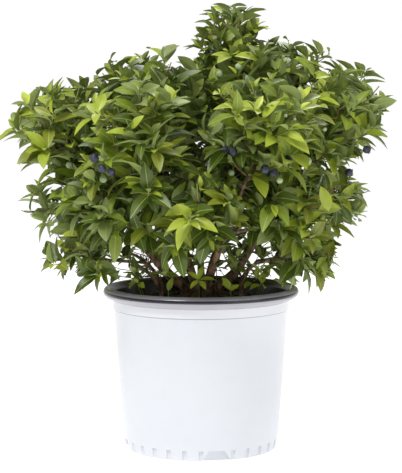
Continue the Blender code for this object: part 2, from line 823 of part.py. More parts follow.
def grow_leaves(points, shares, turn, mass, room, chance, parts, green):
    """Leaves along a shoot, one golden turn from each to the next, and one at its tip."""
    tip, onward = points[-1], (points[-1] - points[-2]).normalized()
    facing = face_of(onward, mass, chance)
    leaves = grow_leaf(tip - onward * TIP_LEAF_SINK, onward, facing, room, parts, green)
    for i, share in enumerate(shares):
        place, onward = along(points, share)
        spread = chance.uniform(*LEAF_SPREAD)
        way = onward * math.cos(spread) + beside(onward, turn + i * GOLDEN_TURN) * math.sin(spread)
        way = (way + UP * LEAF_RAISE).normalized()
        leaves += grow_leaf(place, way, face_of(way, mass, chance), room, parts, green)
    return leaves


def grow_twig(start, onward, turn, mass, room, chance):
    """A twig's points, or nothing where there is no room for it."""
    spread = chance.uniform(*TWIG_SPREAD)
    way = (onward * math.cos(spread) + beside(onward, turn) * math.sin(spread)).normalized()
    way = (way + UP * TWIG_LIFT).normalized()
    points = [start, start + way * mass.size * chance.uniform(*TWIG_LENGTHS)]
    tests = [along(points, i / SAMPLES_LONG)[0] for i in range(TWIG_FREE, SAMPLES_LONG + 1)]
    return points if room.holds(tests, TWIG_RADIUS + TWIG_MARGIN) else []


def grow_berry(points, room, parts, green):
    """A berry that hangs under a shoot, where there is room."""
    hold, onward = along(points, BERRY_PLACE)
    centre = hold + (onward * onward.z - UP).normalized() * BERRY_DROP

    def shaping(form):
        bmesh.ops.create_uvsphere(
            form,
            u_segments=BERRY_SIDES,
            v_segments=BERRY_BANDS,
            radius=BERRY_RADIUS,
            matrix=Matrix.Translation(centre),
        )

    ways = [UP, -UP, onward, -onward, beside(onward, 1), -beside(onward, 1)]
    surface = [centre + way * BERRY_RADIUS for way in ways]
    if not room.holds(surface, LIMB_MARGIN):
        return []
    room.leaves = np.concatenate([room.leaves, np.array(surface)])
    return [shaped("berry", shaping, parts, green)]


def make_mass(mass, masses, limbs, parts, green):
    """A mass of foliage: a stem, side twigs that branch from it, leaves on both, and berries."""
    room = Room(mass, masses, limbs)
    chance = random.Random(mass.seed)
    start = mass.entry + mass.heading * GAP
    tip = mass.centre + (mass.heading + UP * TWIG_LIFT).normalized() * mass.size * STEM_REACH
    stem = bezier(start, start.lerp(mass.centre, 0.5), mass.centre, tip, STEM_STEPS)
    body = tube(mass.name, stem, taper(STEM_RADIUS, STEM_TIP_RADIUS, len(stem)), TWIG_SIDES, parts, green)
    phase = mass.seed * GOLDEN_TURN
    twigs = []
    for k in range(mass.ring.twigs):
        place, onward = along(stem, FIRST_TWIG + (LAST_TWIG - FIRST_TWIG) * k / (mass.ring.twigs - 1))
        twig = grow_twig(place, onward, phase + k * GOLDEN_TURN, mass, room, chance)
        if twig:
            twigs.append(twig)
    room.note_shoots([stem] + twigs)
    additions = []
    for twig in twigs[: mass.ring.berries]:
        additions += grow_berry(twig, room, parts, green)
    additions += grow_leaves(stem, STEM_LEAVES, -phase, mass, room, chance, parts, green)
    for k, twig in enumerate(twigs):
        additions.append(tube("twig", twig, (TWIG_RADIUS, TWIG_TIP_RADIUS), TWIG_SIDES, parts, green))
        shares = TWIG_LEAVES[k % len(TWIG_LEAVES)]
        additions += grow_leaves(twig, shares, phase + k, mass, room, chance, parts, green)
    unite(body, additions)


def main():
    """Builds the pot, the potting mix and the bush."""
    clear_scene()
    parts = bpy.data.collections.new("potted_blueberry")
    cutters = bpy.data.collections.new("cutters")
    for collection in (parts, cutters):
        bpy.context.scene.collection.children.link(collection)
    plastic = principled("white_plastic", (0.86, 0.87, 0.89), 0.35)
    mix = principled("potting_mix", (0.045, 0.030, 0.020), 0.95)
    bark = principled("bark", BARK_BROWN, 0.85)
    green = principled("leaf_green", LEAF_GREEN, 0.55)
    make_pot(parts, cutters, plastic)
    turned("potting_mix", soil_profile(), SOIL_STEPS, parts, mix)
    masses = plan_masses()
    limbs, stubs = plan_limbs(masses)
    make_limbs(limbs, stubs, parts, bark)
    for mass in masses:
        make_mass(mass, masses, limbs, parts, green)


main()
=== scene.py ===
"""A blueberry bush in a white nursery pot, dressed with leaves, twigs, berries and bark of their real size.

Metres, +Z up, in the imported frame: the origin is the centre of the pot's flat underside and the front of the
bush is towards -Y. The canes and the cells of foliage follow the same rule as the solids they stand for, and
the twigs in each cell are carried on to finer shoots.
"""

import logging
import math
import random
from dataclasses import dataclass, field, replace
from enum import Enum
from typing import Callable, Iterable, Optional, Sequence

import bmesh
import bpy
import numpy as np
from mathutils import Matrix, Vector, noise


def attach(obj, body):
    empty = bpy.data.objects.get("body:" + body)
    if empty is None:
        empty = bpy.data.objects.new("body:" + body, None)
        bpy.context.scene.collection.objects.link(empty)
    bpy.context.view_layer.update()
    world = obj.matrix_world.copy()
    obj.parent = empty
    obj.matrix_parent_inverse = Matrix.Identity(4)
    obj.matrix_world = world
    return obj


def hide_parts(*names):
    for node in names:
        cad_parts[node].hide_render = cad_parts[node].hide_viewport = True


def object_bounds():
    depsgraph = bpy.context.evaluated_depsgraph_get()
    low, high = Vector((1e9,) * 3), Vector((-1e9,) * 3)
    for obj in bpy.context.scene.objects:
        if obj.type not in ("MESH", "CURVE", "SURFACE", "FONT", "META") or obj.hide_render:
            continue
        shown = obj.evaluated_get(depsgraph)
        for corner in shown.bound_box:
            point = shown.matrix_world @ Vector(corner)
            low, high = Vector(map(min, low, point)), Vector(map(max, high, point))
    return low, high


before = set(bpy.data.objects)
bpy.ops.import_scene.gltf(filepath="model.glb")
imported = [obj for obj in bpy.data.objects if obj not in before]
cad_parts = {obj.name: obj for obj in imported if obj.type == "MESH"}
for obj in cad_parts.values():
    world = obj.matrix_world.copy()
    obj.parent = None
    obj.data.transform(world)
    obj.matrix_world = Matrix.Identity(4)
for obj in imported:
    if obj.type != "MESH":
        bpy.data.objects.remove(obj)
CAD_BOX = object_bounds()
LOG = logging.getLogger("blueberry_bush")
UP = Vector((0, 0, 1))
BOX_SPARE = 0.007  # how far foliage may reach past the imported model's box
WALL_SPARE = 0.003  # how far it may reach past the wall between two cells
GOLDEN_TURN = math.radians(137.5)  # from one leaf or twig to the next, round a blueberry stem
TAPER_POWER = 1.4  # how much faster a limb thins near its foot
MERGE = 0.00005  # how near to each other points of a form are made one


class Slot(Enum):
    """The record's material slots."""

    POT = "pot_plastic"
    MIX = "potting_mix"
    BARK = "bark"
    FOLIAGE = "foliage"


class Tone(Enum):
    """The greens that are dealt out to the leaves, shoot by shoot."""

    LIME = 0
    FRESH = 1
    MID = 2
    DEEP = 3
    SAGE = 4
    OLIVE = 5


class Fruit(Enum):
    """How far a berry has come. The value is the number of its finish."""

    RIPE = 0
    GREEN = 1
    BUD = 3


class Skin(Enum):
    """The plastics of the pot, three of them carrying painted highlight, shade or light. The value is the
    number of the finish.
    """

    WHITE = 0
    BLACK = 1
    # A light grey on the top of the lip's outer roll: a painted highlight of the glossy black plastic.
    SCUFFED = 2
    # White plastic darkened to grey under the lip's roll and on the step below the neck: painted shade.
    GREY = 3
    # A white lighter than the wall's, on the neck in the lip's shadow: painted light.
    NECK = 4


def outward(azimuth: float, rise: float = 0.0) -> Vector:
    """Points away from the bush's axis.

    Args:
        azimuth: Angle round the axis from +X, in radians.
        rise: Slope above the horizontal, in radians.

    Returns:
        The unit vector.
    """
    flat = math.cos(rise)
    return Vector((flat * math.cos(azimuth), flat * math.sin(azimuth), math.sin(rise)))


def spaced(count: int, start_degrees: float) -> tuple[float, ...]:
    """Spaces azimuths evenly.

    Args:
        count: How many there are.
        start_degrees: The first one, in degrees.

    Returns:
        The azimuths in radians.
    """
    return tuple(math.radians(start_degrees) + 2 * math.pi * i / count for i in range(count))


def bezier(a: Vector, b: Vector, c: Vector, d: Vector, steps: int) -> list[Vector]:
    """Follows a cubic curve whose first and last stretches run straight along its end tangents.

    Args:
        a: The curve's start.
        b: Its first handle.
        c: Its second handle.
        d: Its end.
        steps: How many stretches it has.

    Returns:
        The points, one more than the steps.
    """
    shares = [i / steps for i in range(steps + 1)]
    points = [
        a * (1 - t) ** 3 + b * 3 * t * (1 - t) ** 2 + c * 3 * t * t * (1 - t) + d * t ** 3
        for t in shares
    ]
    points[1] = a + (b - a).normalized() * (points[1] - a).length
    points[-2] = d - (d - c).normalized() * (points[-2] - d).length
    return points


def taper(foot: float, tip: float, count: int) -> list[float]:
    """Thins a limb, fastest near its foot.

    Args:
        foot: Radius at the first point.
        tip: Radius at the last point.
        count: How many points there are.

    Returns:
        The radii.
    """
    return [tip + (foot - tip) * (1 - i / (count - 1)) ** TAPER_POWER for i in range(count)]


def along(points: Sequence[Vector], share: float) -> tuple[Vector, Vector]:
    """Finds a place on a polyline.

    Args:
        points: The polyline.
        share: How far along its stretches the place is, from 0 to 1.

    Returns:
        The place, and the direction there.
    """
    place = share * (len(points) - 1)
    i = min(int(place), len(points) - 2)
    return points[i].lerp(points[i + 1], place - i), (points[i + 1] - points[i]).normalized()


def beside(direction: Vector, turn: float) -> Vector:
    """Turns a unit vector that is square to a direction round it.

    Args:
        direction: The direction.
        turn: The angle in radians.

    Returns:
        The unit vector.
    """
    side = direction.orthogonal().normalized()
    side.rotate(Matrix.Rotation(turn, 3, direction))
    return side


def swung(direction: Vector, turn: float, spread: float) -> Vector:
    """Swings a unit vector aside.

    Args:
        direction: The vector.
        turn: The angle round it of the side that it swings to, in radians.
        spread: How far it swings, in radians.

    Returns:
        The unit vector.
    """
    return direction * math.cos(spread) + beside(direction, turn) * math.sin(spread)


def sweep(points: Sequence[Vector], sides: int) -> list[list[Vector]]:
    """Carries a ring along a polyline without twisting it.

    Args:
        points: The polyline.
        sides: How many corners the ring has.

    Returns:
        For each point, the unit vectors to the ring's corners.
    """
    side = (points[1] - points[0]).orthogonal().normalized()
    angles = [2 * math.pi * k / sides for k in range(sides)]
    rings = []
    for i in range(len(points)):
        onward = (points[min(i + 1, len(points) - 1)] - points[max(i - 1, 0)]).normalized()
        side = (side - onward * side.dot(onward)).normalized()
        other = onward.cross(side)
        rings.append([side * math.cos(angle) + other * math.sin(angle) for angle in angles])
    return rings


def smoothed(points: Sequence[Vector], step: float) -> list[Vector]:
    """Runs a smooth curve through a polyline's points.

    Args:
        points: The polyline.
        step: About how far apart the new points are.

    Returns:
        Points along a Catmull-Rom spline.
    """
    ends = [points[0] * 2 - points[1], *points, points[-1] * 2 - points[-2]]
    made = []
    for a, b, c, d in zip(ends, ends[1:], ends[2:], ends[3:]):
        count = max(1, round((c - b).length / step))
        for i in range(count):
            t = i / count
            curved = (a * 2 - b * 5 + c * 4 - d) * t * t + (b * 3 - a - c * 3 + d) * t ** 3
            made.append((b * 2 + (c - a) * t + curved) / 2)
    return made + [points[-1].copy()]


@dataclass(frozen=True)
class Ring:
    """A ring of foliage masses round the bush.

    radius is from the bush's axis to the masses' centres, size is a mass's own radius, and rise is the
    slope of its stem in radians. clusters is how many clusters of berries a mass at the back has. The ring
    stands higher by lean metres a metre towards +X and by arch metres at the front and back, and its middle
    is shifted towards +X.
    """

    name: str
    azimuths: tuple[float, ...]
    radius: float
    height: float
    size: float
    rise: float
    twigs: int
    clusters: int = 0
    lean: float = 0.0
    shift: float = 0.0
    arch: float = 0.0


@dataclass
class Mass:
    """A mass of foliage, the ball that it keeps to, and where its stem begins."""

    name: str
    ring: Ring
    azimuth: float
    centre: Vector
    heading: Vector
    entry: Vector
    seed: int

    @property
    def size(self) -> float:
        """Radius of the ball."""
        return self.ring.size


@dataclass(frozen=True)
class Limb:
    """A tapering cane or bough. lead holds the points before its foot, inside what carries it."""

    name: str
    points: list[Vector]
    radii: list[float]
    lead: list[Vector]

    @property
    def segments(self) -> list[tuple[Vector, Vector, float, float]]:
        """Pairs of neighbouring points, with the radius of each."""
        return list(zip(self.points, self.points[1:], self.radii, self.radii[1:]))


@dataclass
class BushPlan:
    """Where the bush's limbs run and where its masses of foliage are."""

    waver: float = 0.006
    soil_top: float = 0.2125
    fork_height: float = 0.221
    fork_radius: float = 0.015
    stub_length: float = 0.025
    leader_stub: float = 0.029
    cane_radii: tuple[float, float] = (0.0056, 0.0025)
    cane_rises: tuple[float, ...] = (0.66, 0.94, 0.94, 0.66)
    cane_spring: float = 0.066
    cane_landing: float = 0.070
    cane_steps: int = 9
    leader_radius: float = 0.0052
    leader_bend: float = 0.085
    low_cane_foot: float = 0.064
    low_cane_radius: float = 0.0030
    low_cane_spring: float = 0.028
    low_cane_landing: float = 0.045
    low_cane_steps: int = 6
    low_cane_sink: float = 0.004
    bough_radii: tuple[float, float] = (0.0034, 0.0022)
    bough_steps: int = 5
    bough_sweep: float = 0.25
    bough_bend: float = 0.35
    bough_share: float = 0.85
    collar: float = 0.0012
    gap: float = 0.0003
    side_bough_fork: int = 4
    upper_bough_forks: tuple[int, ...] = (4, 5, 3, 6, 4)
    inner_forks: tuple[int, ...] = (3, 2, 4, 3, 2)
    stem_start: float = 0.68
    stem_radius: float = 0.0022
    low_azimuths: tuple[float, ...] = tuple(math.radians(a) for a in (28, 152, 208, 332))
    rings: tuple[Ring, ...] = field(init=False)
    masses: list[Mass] = field(init=False)
    limbs: list[Limb] = field(init=False)

    def __post_init__(self) -> None:
        """Works out the masses and the limbs that carry them."""
        self.rings = (
            Ring("top", spaced(1, 0), 0.0, 0.562, 0.080, math.pi / 2, 5, shift=0.032),
            Ring("upper", spaced(5, 18), 0.102, 0.483, 0.095, 1.05, 5, 1, lean=0.14, shift=0.016),
            Ring("shoulder", spaced(8, 22.5), 0.197, 0.436, 0.103, 0.80, 5, 2, lean=0.06, arch=-0.012),
            Ring("side", spaced(8, 45), 0.166, 0.340, 0.094, 0.40, 5, arch=0.006),
            Ring("low", self.low_azimuths, 0.168, 0.276, 0.068, 0.14, 4, shift=-0.006),
            Ring("inner", spaced(5, 54), 0.074, 0.388, 0.078, 0.50, 3),
        )
        self.masses = self.plan_masses()
        self.limbs = self.plan_limbs()

    def plan_masses(self) -> list[Mass]:
        """Places the masses.

        Returns:
            The masses of foliage, ring by ring.
        """
        masses: list[Mass] = []
        for ring in self.rings:
            chance = random.Random(ring.name)
            for i, azimuth in enumerate(ring.azimuths):
                centre = outward(azimuth) * (ring.radius + chance.uniform(-self.waver, self.waver))
                centre.x += ring.shift
                centre.z = ring.height + ring.lean * centre.x + ring.arch * math.sin(azimuth) ** 2
                centre.z += chance.uniform(-self.waver, self.waver)
                several = len(ring.azimuths) > 1
                name = f"leaf_mass_{ring.name}_{i + 1}" if several else f"leaf_mass_{ring.name}"
                heading = outward(azimuth, ring.rise)
                entry = centre - heading * ring.size * self.stem_start
                masses.append(Mass(name, ring, azimuth, centre, heading, entry, len(masses) + 1))
        return masses

    def of_ring(self, name: str) -> list[Mass]:
        """The masses of the ring with this name."""
        return [mass for mass in self.masses if mass.ring.name == name]

    def fork_off(
        self, carrier: Limb, fork: int, target: Vector, sweep: float, thickness: float
    ) -> tuple[Vector, Vector]:
        """Finds where a bough or stem comes clear of what carries it.

        Args:
            carrier: The cane that carries it.
            fork: Which point of the cane it leaves from.
            target: Where it is bound for.
            sweep: How strongly it sets off along its cane.
            thickness: Its radius.

        Returns:
            The end of its stub, and its direction there.
        """
        start = carrier.points[fork]
        onward = (carrier.points[fork + 1] - carrier.points[fork - 1]).normalized()
        away = ((target - start).normalized() + onward * sweep).normalized()
        reach = (carrier.radii[fork] + thickness + self.collar) / math.sin(away.angle(onward))
        return start + away * reach, away

    def plan_bough(self, name: str, carrier: Limb, fork: int, mass: Mass) -> Limb:
        """Runs a bough from a point of its cane to a mass's entry.

        Args:
            name: The bough's name.
            carrier: The cane that carries it.
            fork: Which point of the cane it leaves from.
            mass: The mass that it ends at.

        Returns:
            The bough.
        """
        foot = min(self.bough_radii[0], carrier.radii[fork] * self.bough_share)
        stub_end, away = self.fork_off(carrier, fork, mass.entry, self.bough_sweep, foot)
        root = stub_end + away * self.gap
        bend = (mass.entry - root).length * self.bough_bend
        landing = mass.entry - mass.heading * bend
        points = bezier(root, root + away * bend, landing, mass.entry, self.bough_steps)
        return Limb(name, points, taper(foot, self.bough_radii[1], len(points)), [carrier.points[fork]])

    def plan_cane(self, name: str, rise: float, mass: Mass) -> Limb:
        """Runs a cane from the root crown to a mass's entry.

        Args:
            name: The cane's name.
            rise: Its slope where it leaves the crown, in radians.
            mass: The mass that it ends at.

        Returns:
            The cane.
        """
        away = outward(mass.azimuth, rise)
        root = outward(mass.azimuth) * self.fork_radius + UP * self.fork_height
        start = root + away * self.stub_length
        landing = mass.entry - mass.heading * self.cane_landing
        points = bezier(start, start + away * self.cane_spring, landing, mass.entry, self.cane_steps)
        return Limb(name, points, taper(*self.cane_radii, len(points)), [root])

    def plan_leader(self, mass: Mass) -> Limb:
        """Runs the upright cane in the middle to this mass's entry."""
        root = UP * self.fork_height
        start = root + UP * self.leader_stub
        bend = UP * self.leader_bend
        points = bezier(start, start + bend, mass.entry - bend, mass.entry, self.cane_steps)
        radii = taper(self.leader_radius, self.cane_radii[1], len(points))
        return Limb("cane_leader", points, radii, [root])

    def plan_low_cane(self, name: str, mass: Mass) -> Limb:
        """Runs a thin cane up through the mix and out over the pot's lip to this mass's entry."""
        start = outward(mass.azimuth) * self.low_cane_foot + UP * (self.soil_top + self.gap)
        spring = start + UP * self.low_cane_spring
        landing = mass.entry - mass.heading * self.low_cane_landing
        points = bezier(start, spring, landing, mass.entry, self.low_cane_steps)
        radii = taper(self.low_cane_radius, self.bough_radii[1], len(points))
        return Limb(name, points, radii, [start - UP * self.low_cane_sink])

    def plan_limbs(self) -> list[Limb]:
        """Runs the canes and boughs.

        Returns:
            The limbs. Each mass is met by one of them at its entry, but an inner mass's stem leaves the
            leader itself.
        """
        limbs: list[Limb] = []
        for i, mass in enumerate(self.of_ring("shoulder")):
            cane = self.plan_cane(f"cane_{i + 1}", self.cane_rises[i % len(self.cane_rises)], mass)
            limbs.append(cane)
            side = self.of_ring("side")[i]
            limbs.append(self.plan_bough(f"bough_side_{i + 1}", cane, self.side_bough_fork, side))
        leader = self.plan_leader(self.of_ring("top")[0])
        limbs.append(leader)
        for i, mass in enumerate(self.of_ring("upper")):
            fork = self.upper_bough_forks[i]
            limbs.append(self.plan_bough(f"bough_upper_{i + 1}", leader, fork, mass))
        for i, mass in enumerate(self.of_ring("low")):
            limbs.append(self.plan_low_cane(f"cane_low_{i + 1}", mass))
        for i, mass in enumerate(self.of_ring("inner")):
            fork = self.inner_forks[i]
            mass.entry, mass.heading = self.fork_off(leader, fork, mass.centre, 0, self.stem_radius)
        return limbs


class Stretches:
    """Straight stretches of limbs or twigs, as arrays."""

    def __init__(self, segments: Sequence[tuple[Vector, Vector, float, float]]) -> None:
        """Takes pairs of points with the radius at each.

        Args:
            segments: The stretches.
        """
        self.feet = np.array([a for a, b, foot, tip in segments]).reshape(-1, 3)
        self.runs = np.array([b - a for a, b, foot, tip in segments]).reshape(-1, 3)
        self.radii = np.array([max(foot, tip) for a, b, foot, tip in segments])

    def clear(self, points: np.ndarray, margin: float) -> bool:
        """Tests points against the stretches.

        Args:
            points: The points, a row each.
            margin: The room that is asked for.

        Returns:
            Whether every point is this far clear of them.
        """
        if not len(self.radii):
            return True
        offsets = points[:, None, :] - self.feet[None]
        shares = np.clip((offsets * self.runs).sum(axis=2) / (self.runs ** 2).sum(axis=1), 0, 1)
        gaps = np.linalg.norm(offsets - shares[:, :, None] * self.runs, axis=2)
        return bool((gaps > self.radii + margin).all())


class Cell:
    """The space that a mass may fill: its ball, parted by flat walls from its neighbours' balls."""

    def __init__(self, mass: Mass, plan: BushPlan, rim: float, lip: tuple[float, float]) -> None:
        """Notes the cell's walls and the limbs near it as arrays.

        Args:
            mass: The mass of foliage.
            plan: The bush's plan.
            rim: How far from the ball a limb still matters.
            lip: The radius and height that foliage keeps out of, round the pot's lip.
        """
        self.centre = np.array(mass.centre)
        self.size = mass.size
        self.lip = lip
        self.low = np.array(CAD_BOX[0]) - BOX_SPARE
        self.high = np.array(CAD_BOX[1]) + BOX_SPARE
        others = [other for other in plan.masses if other is not mass]
        away = np.array([other.centre - mass.centre for other in others])
        apart = np.linalg.norm(away, axis=1)
        sizes = np.array([other.size for other in others])
        self.wall_normals = away / apart[:, None]
        self.wall_places = (apart ** 2 + mass.size ** 2 - sizes ** 2) / (2 * apart)
        near = [
            part
            for limb in plan.limbs
            for part in limb.segments
            if (part[0] - mass.centre).length < mass.size + (part[1] - part[0]).length + rim
        ]
        self.limbs = Stretches(near)
        self.taken = np.empty((0, 3))

    def holds(self, points: np.ndarray, margin: float, spare: float = 0.0) -> bool:
        """Tests whether a twig or leaf may be here.

        Args:
            points: Points spread over it, a row each.
            margin: How far clear of the limbs they keep.
            spare: How far past the ball they may reach.

        Returns:
            Whether every point is in the cell, clear of the limbs and the pot.
        """
        inner = points - self.centre
        if (np.linalg.norm(inner, axis=1) > self.size + spare).any():
            return False
        if (inner @ self.wall_normals.T > self.wall_places + WALL_SPARE).any():
            return False
        if (points < self.low).any() or (points > self.high).any():
            return False
        radial = np.hypot(points[:, 0], points[:, 1])
        if ((radial < self.lip[0]) & (points[:, 2] < self.lip[1])).any():
            return False
        return self.limbs.clear(points, margin)

    def takes(self, points: np.ndarray, spacing: float) -> bool:
        """Takes up the room that a leaf or berry needs, if nothing else has it.

        Args:
            points: Points spread over it, a row each.
            spacing: Their least distance from those of its neighbours.

        Returns:
            Whether there was room.
        """
        if len(self.taken):
            gaps = np.linalg.norm(points[:, None, :] - self.taken[None], axis=2)
            if (gaps < spacing).any():
                return False
        self.taken = np.concatenate([self.taken, points])
        return True


@dataclass(frozen=True)
class SmallForm:
    """A small closed mesh that many copies are made of.

    rim marks the points of the edges that stay sharp, and parts holds one number a face that says which
    part of the form the face belongs to.
    """

    points: np.ndarray
    faces: list[tuple[int, ...]]
    parts: list[int]
    rim: np.ndarray

    @staticmethod
    def from_bmesh(form: bmesh.types.BMesh) -> "SmallForm":
        """Reads a form from a bmesh, and frees it.

        Args:
            form: The bmesh. Its faces' material indices are the part numbers.

        Returns:
            The form.
        """
        form.verts.index_update()
        points = np.array([vert.co for vert in form.verts])
        faces = [tuple(vert.index for vert in face.verts) for face in form.faces]
        parts = [face.material_index for face in form.faces]
        rim = np.zeros(len(points), bool)
        for edge in form.edges:
            if not edge.smooth:
                rim[[vert.index for vert in edge.verts]] = True
        form.free()
        return SmallForm(points, faces, parts, rim)


class Swarm:
    """Many copies of small forms, joined in one mesh."""

    def __init__(self, name: str, finishes: Sequence[bpy.types.Material]) -> None:
        """Starts an empty swarm.

        Args:
            name: The name of the piece that it becomes.
            finishes: The piece's materials.
        """
        self.name = name
        self.finishes = list(finishes)
        self.points: list[np.ndarray] = []
        self.corners: list[np.ndarray] = []
        self.counts: list[np.ndarray] = []
        self.indices: list[np.ndarray] = []
        self.rims: list[np.ndarray] = []
        self.size = 0

    def add(
        self, form: SmallForm, matrix: np.ndarray, place: np.ndarray, finish_of: Sequence[int]
    ) -> None:
        """Adds a copy.

        Args:
            form: The form.
            matrix: The 3x3 matrix that turns and scales it.
            place: Where its own origin comes.
            finish_of: The material index for each of the form's parts.
        """
        finishes = [finish_of[part] for part in form.parts]
        self.add_mesh(form.points @ matrix.T + place, form.faces, finishes, form.rim)

    def add_mesh(
        self,
        points: np.ndarray,
        faces: Sequence[Sequence[int]],
        finishes: Sequence[int],
        rim: np.ndarray,
    ) -> None:
        """Adds any mesh.

        Args:
            points: Its points, a row each.
            faces: Its faces, as indices of points.
            finishes: The material index of each face.
            rim: Which points lie on sharp edges.
        """
        self.points.append(points)
        self.corners.append(np.concatenate([np.array(face) for face in faces]) + self.size)
        self.counts.append(np.array([len(face) for face in faces]))
        self.indices.append(np.array(finishes))
        self.rims.append(rim)
        self.size += len(points)

    def finish(self) -> Optional[bpy.types.Object]:
        """Makes the joined piece.

        Returns:
            The new object, or None where nothing was added.
        """
        if not self.points:
            return None
        points = np.concatenate(self.points)
        corners = np.concatenate(self.corners)
        counts = np.concatenate(self.counts)
        mesh = bpy.data.meshes.new(self.name)
        mesh.vertices.add(len(points))
        mesh.vertices.foreach_set("co", points.astype(np.float32).ravel())
        mesh.loops.add(len(corners))
        mesh.loops.foreach_set("vertex_index", corners.astype(np.int32))
        mesh.polygons.add(len(counts))
        mesh.polygons.foreach_set("loop_start", (np.cumsum(counts) - counts).astype(np.int32))
        for material in self.finishes:
            mesh.materials.append(material)
        mesh.polygons.foreach_set("material_index", np.concatenate(self.indices).astype(np.int32))
        mesh.update(calc_edges=True)
        mesh.shade_smooth()
        ends = np.empty(len(mesh.edges) * 2, np.int32)
        mesh.edges.foreach_get("vertices", ends)
        sharp = np.concatenate(self.rims)[ends].reshape(-1, 2).all(axis=1)
        mesh.attributes.new("sharp_edge", "BOOLEAN", "EDGE").data.foreach_set("value", sharp)
        return Workshop.linked(self.name, mesh)


class Workshop:
    """Makes and links mesh objects."""

    @staticmethod
    def linked(name: str, mesh: bpy.types.Mesh) -> bpy.types.Object:
        """Links a new object.

        Args:
            name: Its name.
            mesh: Its mesh.

        Returns:
            The object, at the origin.
        """
        made = bpy.data.objects.new(name, mesh)
        bpy.context.scene.collection.objects.link(made)
        return made

    @staticmethod
    def piece(
        name: str, form: bmesh.types.BMesh, finishes: Iterable[bpy.types.Material]
    ) -> bpy.types.Object:
        """Makes an object from a bmesh, and frees it.

        Args:
            name: The object's name.
            form: The bmesh.
            finishes: The object's materials.

        Returns:
            The object.
        """
        mesh = bpy.data.meshes.new(name)
        form.to_mesh(mesh)
        form.free()
        for material in finishes:
            mesh.materials.append(material)
        return Workshop.linked(name, mesh)

    @staticmethod
    def turned(
        outline: Sequence[tuple[float, float]], steps: int, merge: float, closed: bool = False
    ) -> bmesh.types.BMesh:
        """Turns an outline round the bush's axis.

        Args:
            outline: Its points as radius and height.
            steps: How many steps the whole turn has.
            merge: How near to each other points are made one.
            closed: Whether the outline's last point is joined to its first.

        Returns:
            The bmesh.
        """
        form = bmesh.new()
        verts = [form.verts.new((radius, 0, height)) for radius, height in outline]
        course = verts + verts[:1] if closed else verts
        edges = [form.edges.new(pair) for pair in zip(course, course[1:])]
        bmesh.ops.spin(
            form,
            geom=verts + edges,
            axis=(0, 0, 1),
            cent=(0, 0, 0),
            angle=2 * math.pi,
            steps=steps,
            use_merge=True,
        )
        bmesh.ops.remove_doubles(form, verts=form.verts, dist=merge)
        return form

    @staticmethod
    def smooth(form: bmesh.types.BMesh) -> None:
        """Turns a closed bmesh's faces outward and shades them smooth."""
        bmesh.ops.recalc_face_normals(form, faces=form.faces)
        for face in form.faces:
            face.smooth = True

    @staticmethod
    def sharpen(form: bmesh.types.BMesh, angle: float) -> None:
        """Shades a bmesh smooth but for its sharp edges.

        Args:
            form: The bmesh.
            angle: The least angle between two faces at a sharp edge, in radians.
        """
        for face in form.faces:
            face.smooth = True
        for edge in form.edges:
            edge.smooth = len(edge.link_faces) != 2 or edge.calc_face_angle() < angle


class Nodes:
    """Builds the node tree of one material."""

    def __init__(self, name: str) -> None:
        """Starts a material with a Principled shader.

        Args:
            name: The material's name.
        """
        self.material = bpy.data.materials.new(name)
        self.material.use_nodes = True
        self.tree = self.material.node_tree
        self.shader = self.tree.nodes["Principled BSDF"]

    def add(self, kind: str, **settings: object) -> bpy.types.Node:
        """Adds a node.

        Args:
            kind: The node's type.
            **settings: Values of its properties, or of its sockets where a name is a socket's.

        Returns:
            The node.
        """
        node = self.tree.nodes.new(kind)
        for key, value in settings.items():
            socket = key.replace("_", " ")
            if socket in node.inputs:
                node.inputs[socket].default_value = value
            else:
                setattr(node, key, value)
        return node

    def link(self, node: bpy.types.Node, output: str, target: bpy.types.Node, socket: object) -> None:
        """Links an output to a socket."""
        self.tree.links.new(node.outputs[output], target.inputs[socket])

    def set(self, **values: object) -> None:
        """Sets the shader's own sockets, with _ for a blank in their names."""
        for key, value in values.items():
            self.shader.inputs[key.replace("_", " ")].default_value = value

    def placed(self, stretch: tuple[float, float, float] = (1, 1, 1)) -> bpy.types.Node:
        """Object coordinates, stretched by these factors."""
        coordinates = self.add("ShaderNodeTexCoord")
        mapping = self.add("ShaderNodeMapping")
        mapping.inputs["Scale"].default_value = stretch
        self.link(coordinates, "Object", mapping, "Vector")
        return mapping

    def pattern(
        self, scale: float, detail: float, stretch: tuple[float, float, float] = (1, 1, 1)
    ) -> bpy.types.Node:
        """A noise pattern on object coordinates."""
        made = self.add("ShaderNodeTexNoise", Scale=scale, Detail=detail)
        self.link(self.placed(stretch), "Vector", made, "Vector")
        return made

    def ramp(self, pattern: bpy.types.Node, stops: Sequence[tuple[float, tuple]]) -> bpy.types.Node:
        """A colour ramp on a pattern.

        Args:
            pattern: The pattern.
            stops: Places and colours, in order.

        Returns:
            The ramp.
        """
        made = self.add("ShaderNodeValToRGB")
        elements = made.color_ramp.elements
        while len(elements) < len(stops):
            elements.new(0.5)
        for element, (place, colour) in zip(elements, stops):
            element.position = place
            element.color = (*colour, 1)
        self.link(pattern, "Fac", made, "Fac")
        return made

    def blend(
        self, factor: bpy.types.Node, first: bpy.types.Node, second: bpy.types.Node
    ) -> bpy.types.Node:
        """A mix of two ramps' colours by a third one."""
        made = self.add("ShaderNodeMixRGB")
        self.link(factor, "Color", made, "Fac")
        self.link(first, "Color", made, "Color1")
        self.link(second, "Color", made, "Color2")
        return made

    def paint(self, colours: bpy.types.Node) -> None:
        """Gives the shader the colours of a ramp or blend."""
        self.link(colours, "Color", self.shader, "Base Color")

    def bump(self, pattern: bpy.types.Node, strength: float, distance: float) -> None:
        """Gives the shader a bump from a pattern."""
        made = self.add("ShaderNodeBump", Strength=strength, Distance=distance)
        self.link(pattern, "Fac", made, "Height")
        self.link(made, "Normal", self.shader, "Normal")


def lumps(place: Vector, layers: Sequence[tuple[float, float]]) -> float:
    """Adds up layers of noise.

    Args:
        place: Where the noise is taken.
        layers: The scale and the height of each layer.

    Returns:
        Their sum there.
    """
    return sum(noise.noise(place * scale) * height for scale, height in layers)


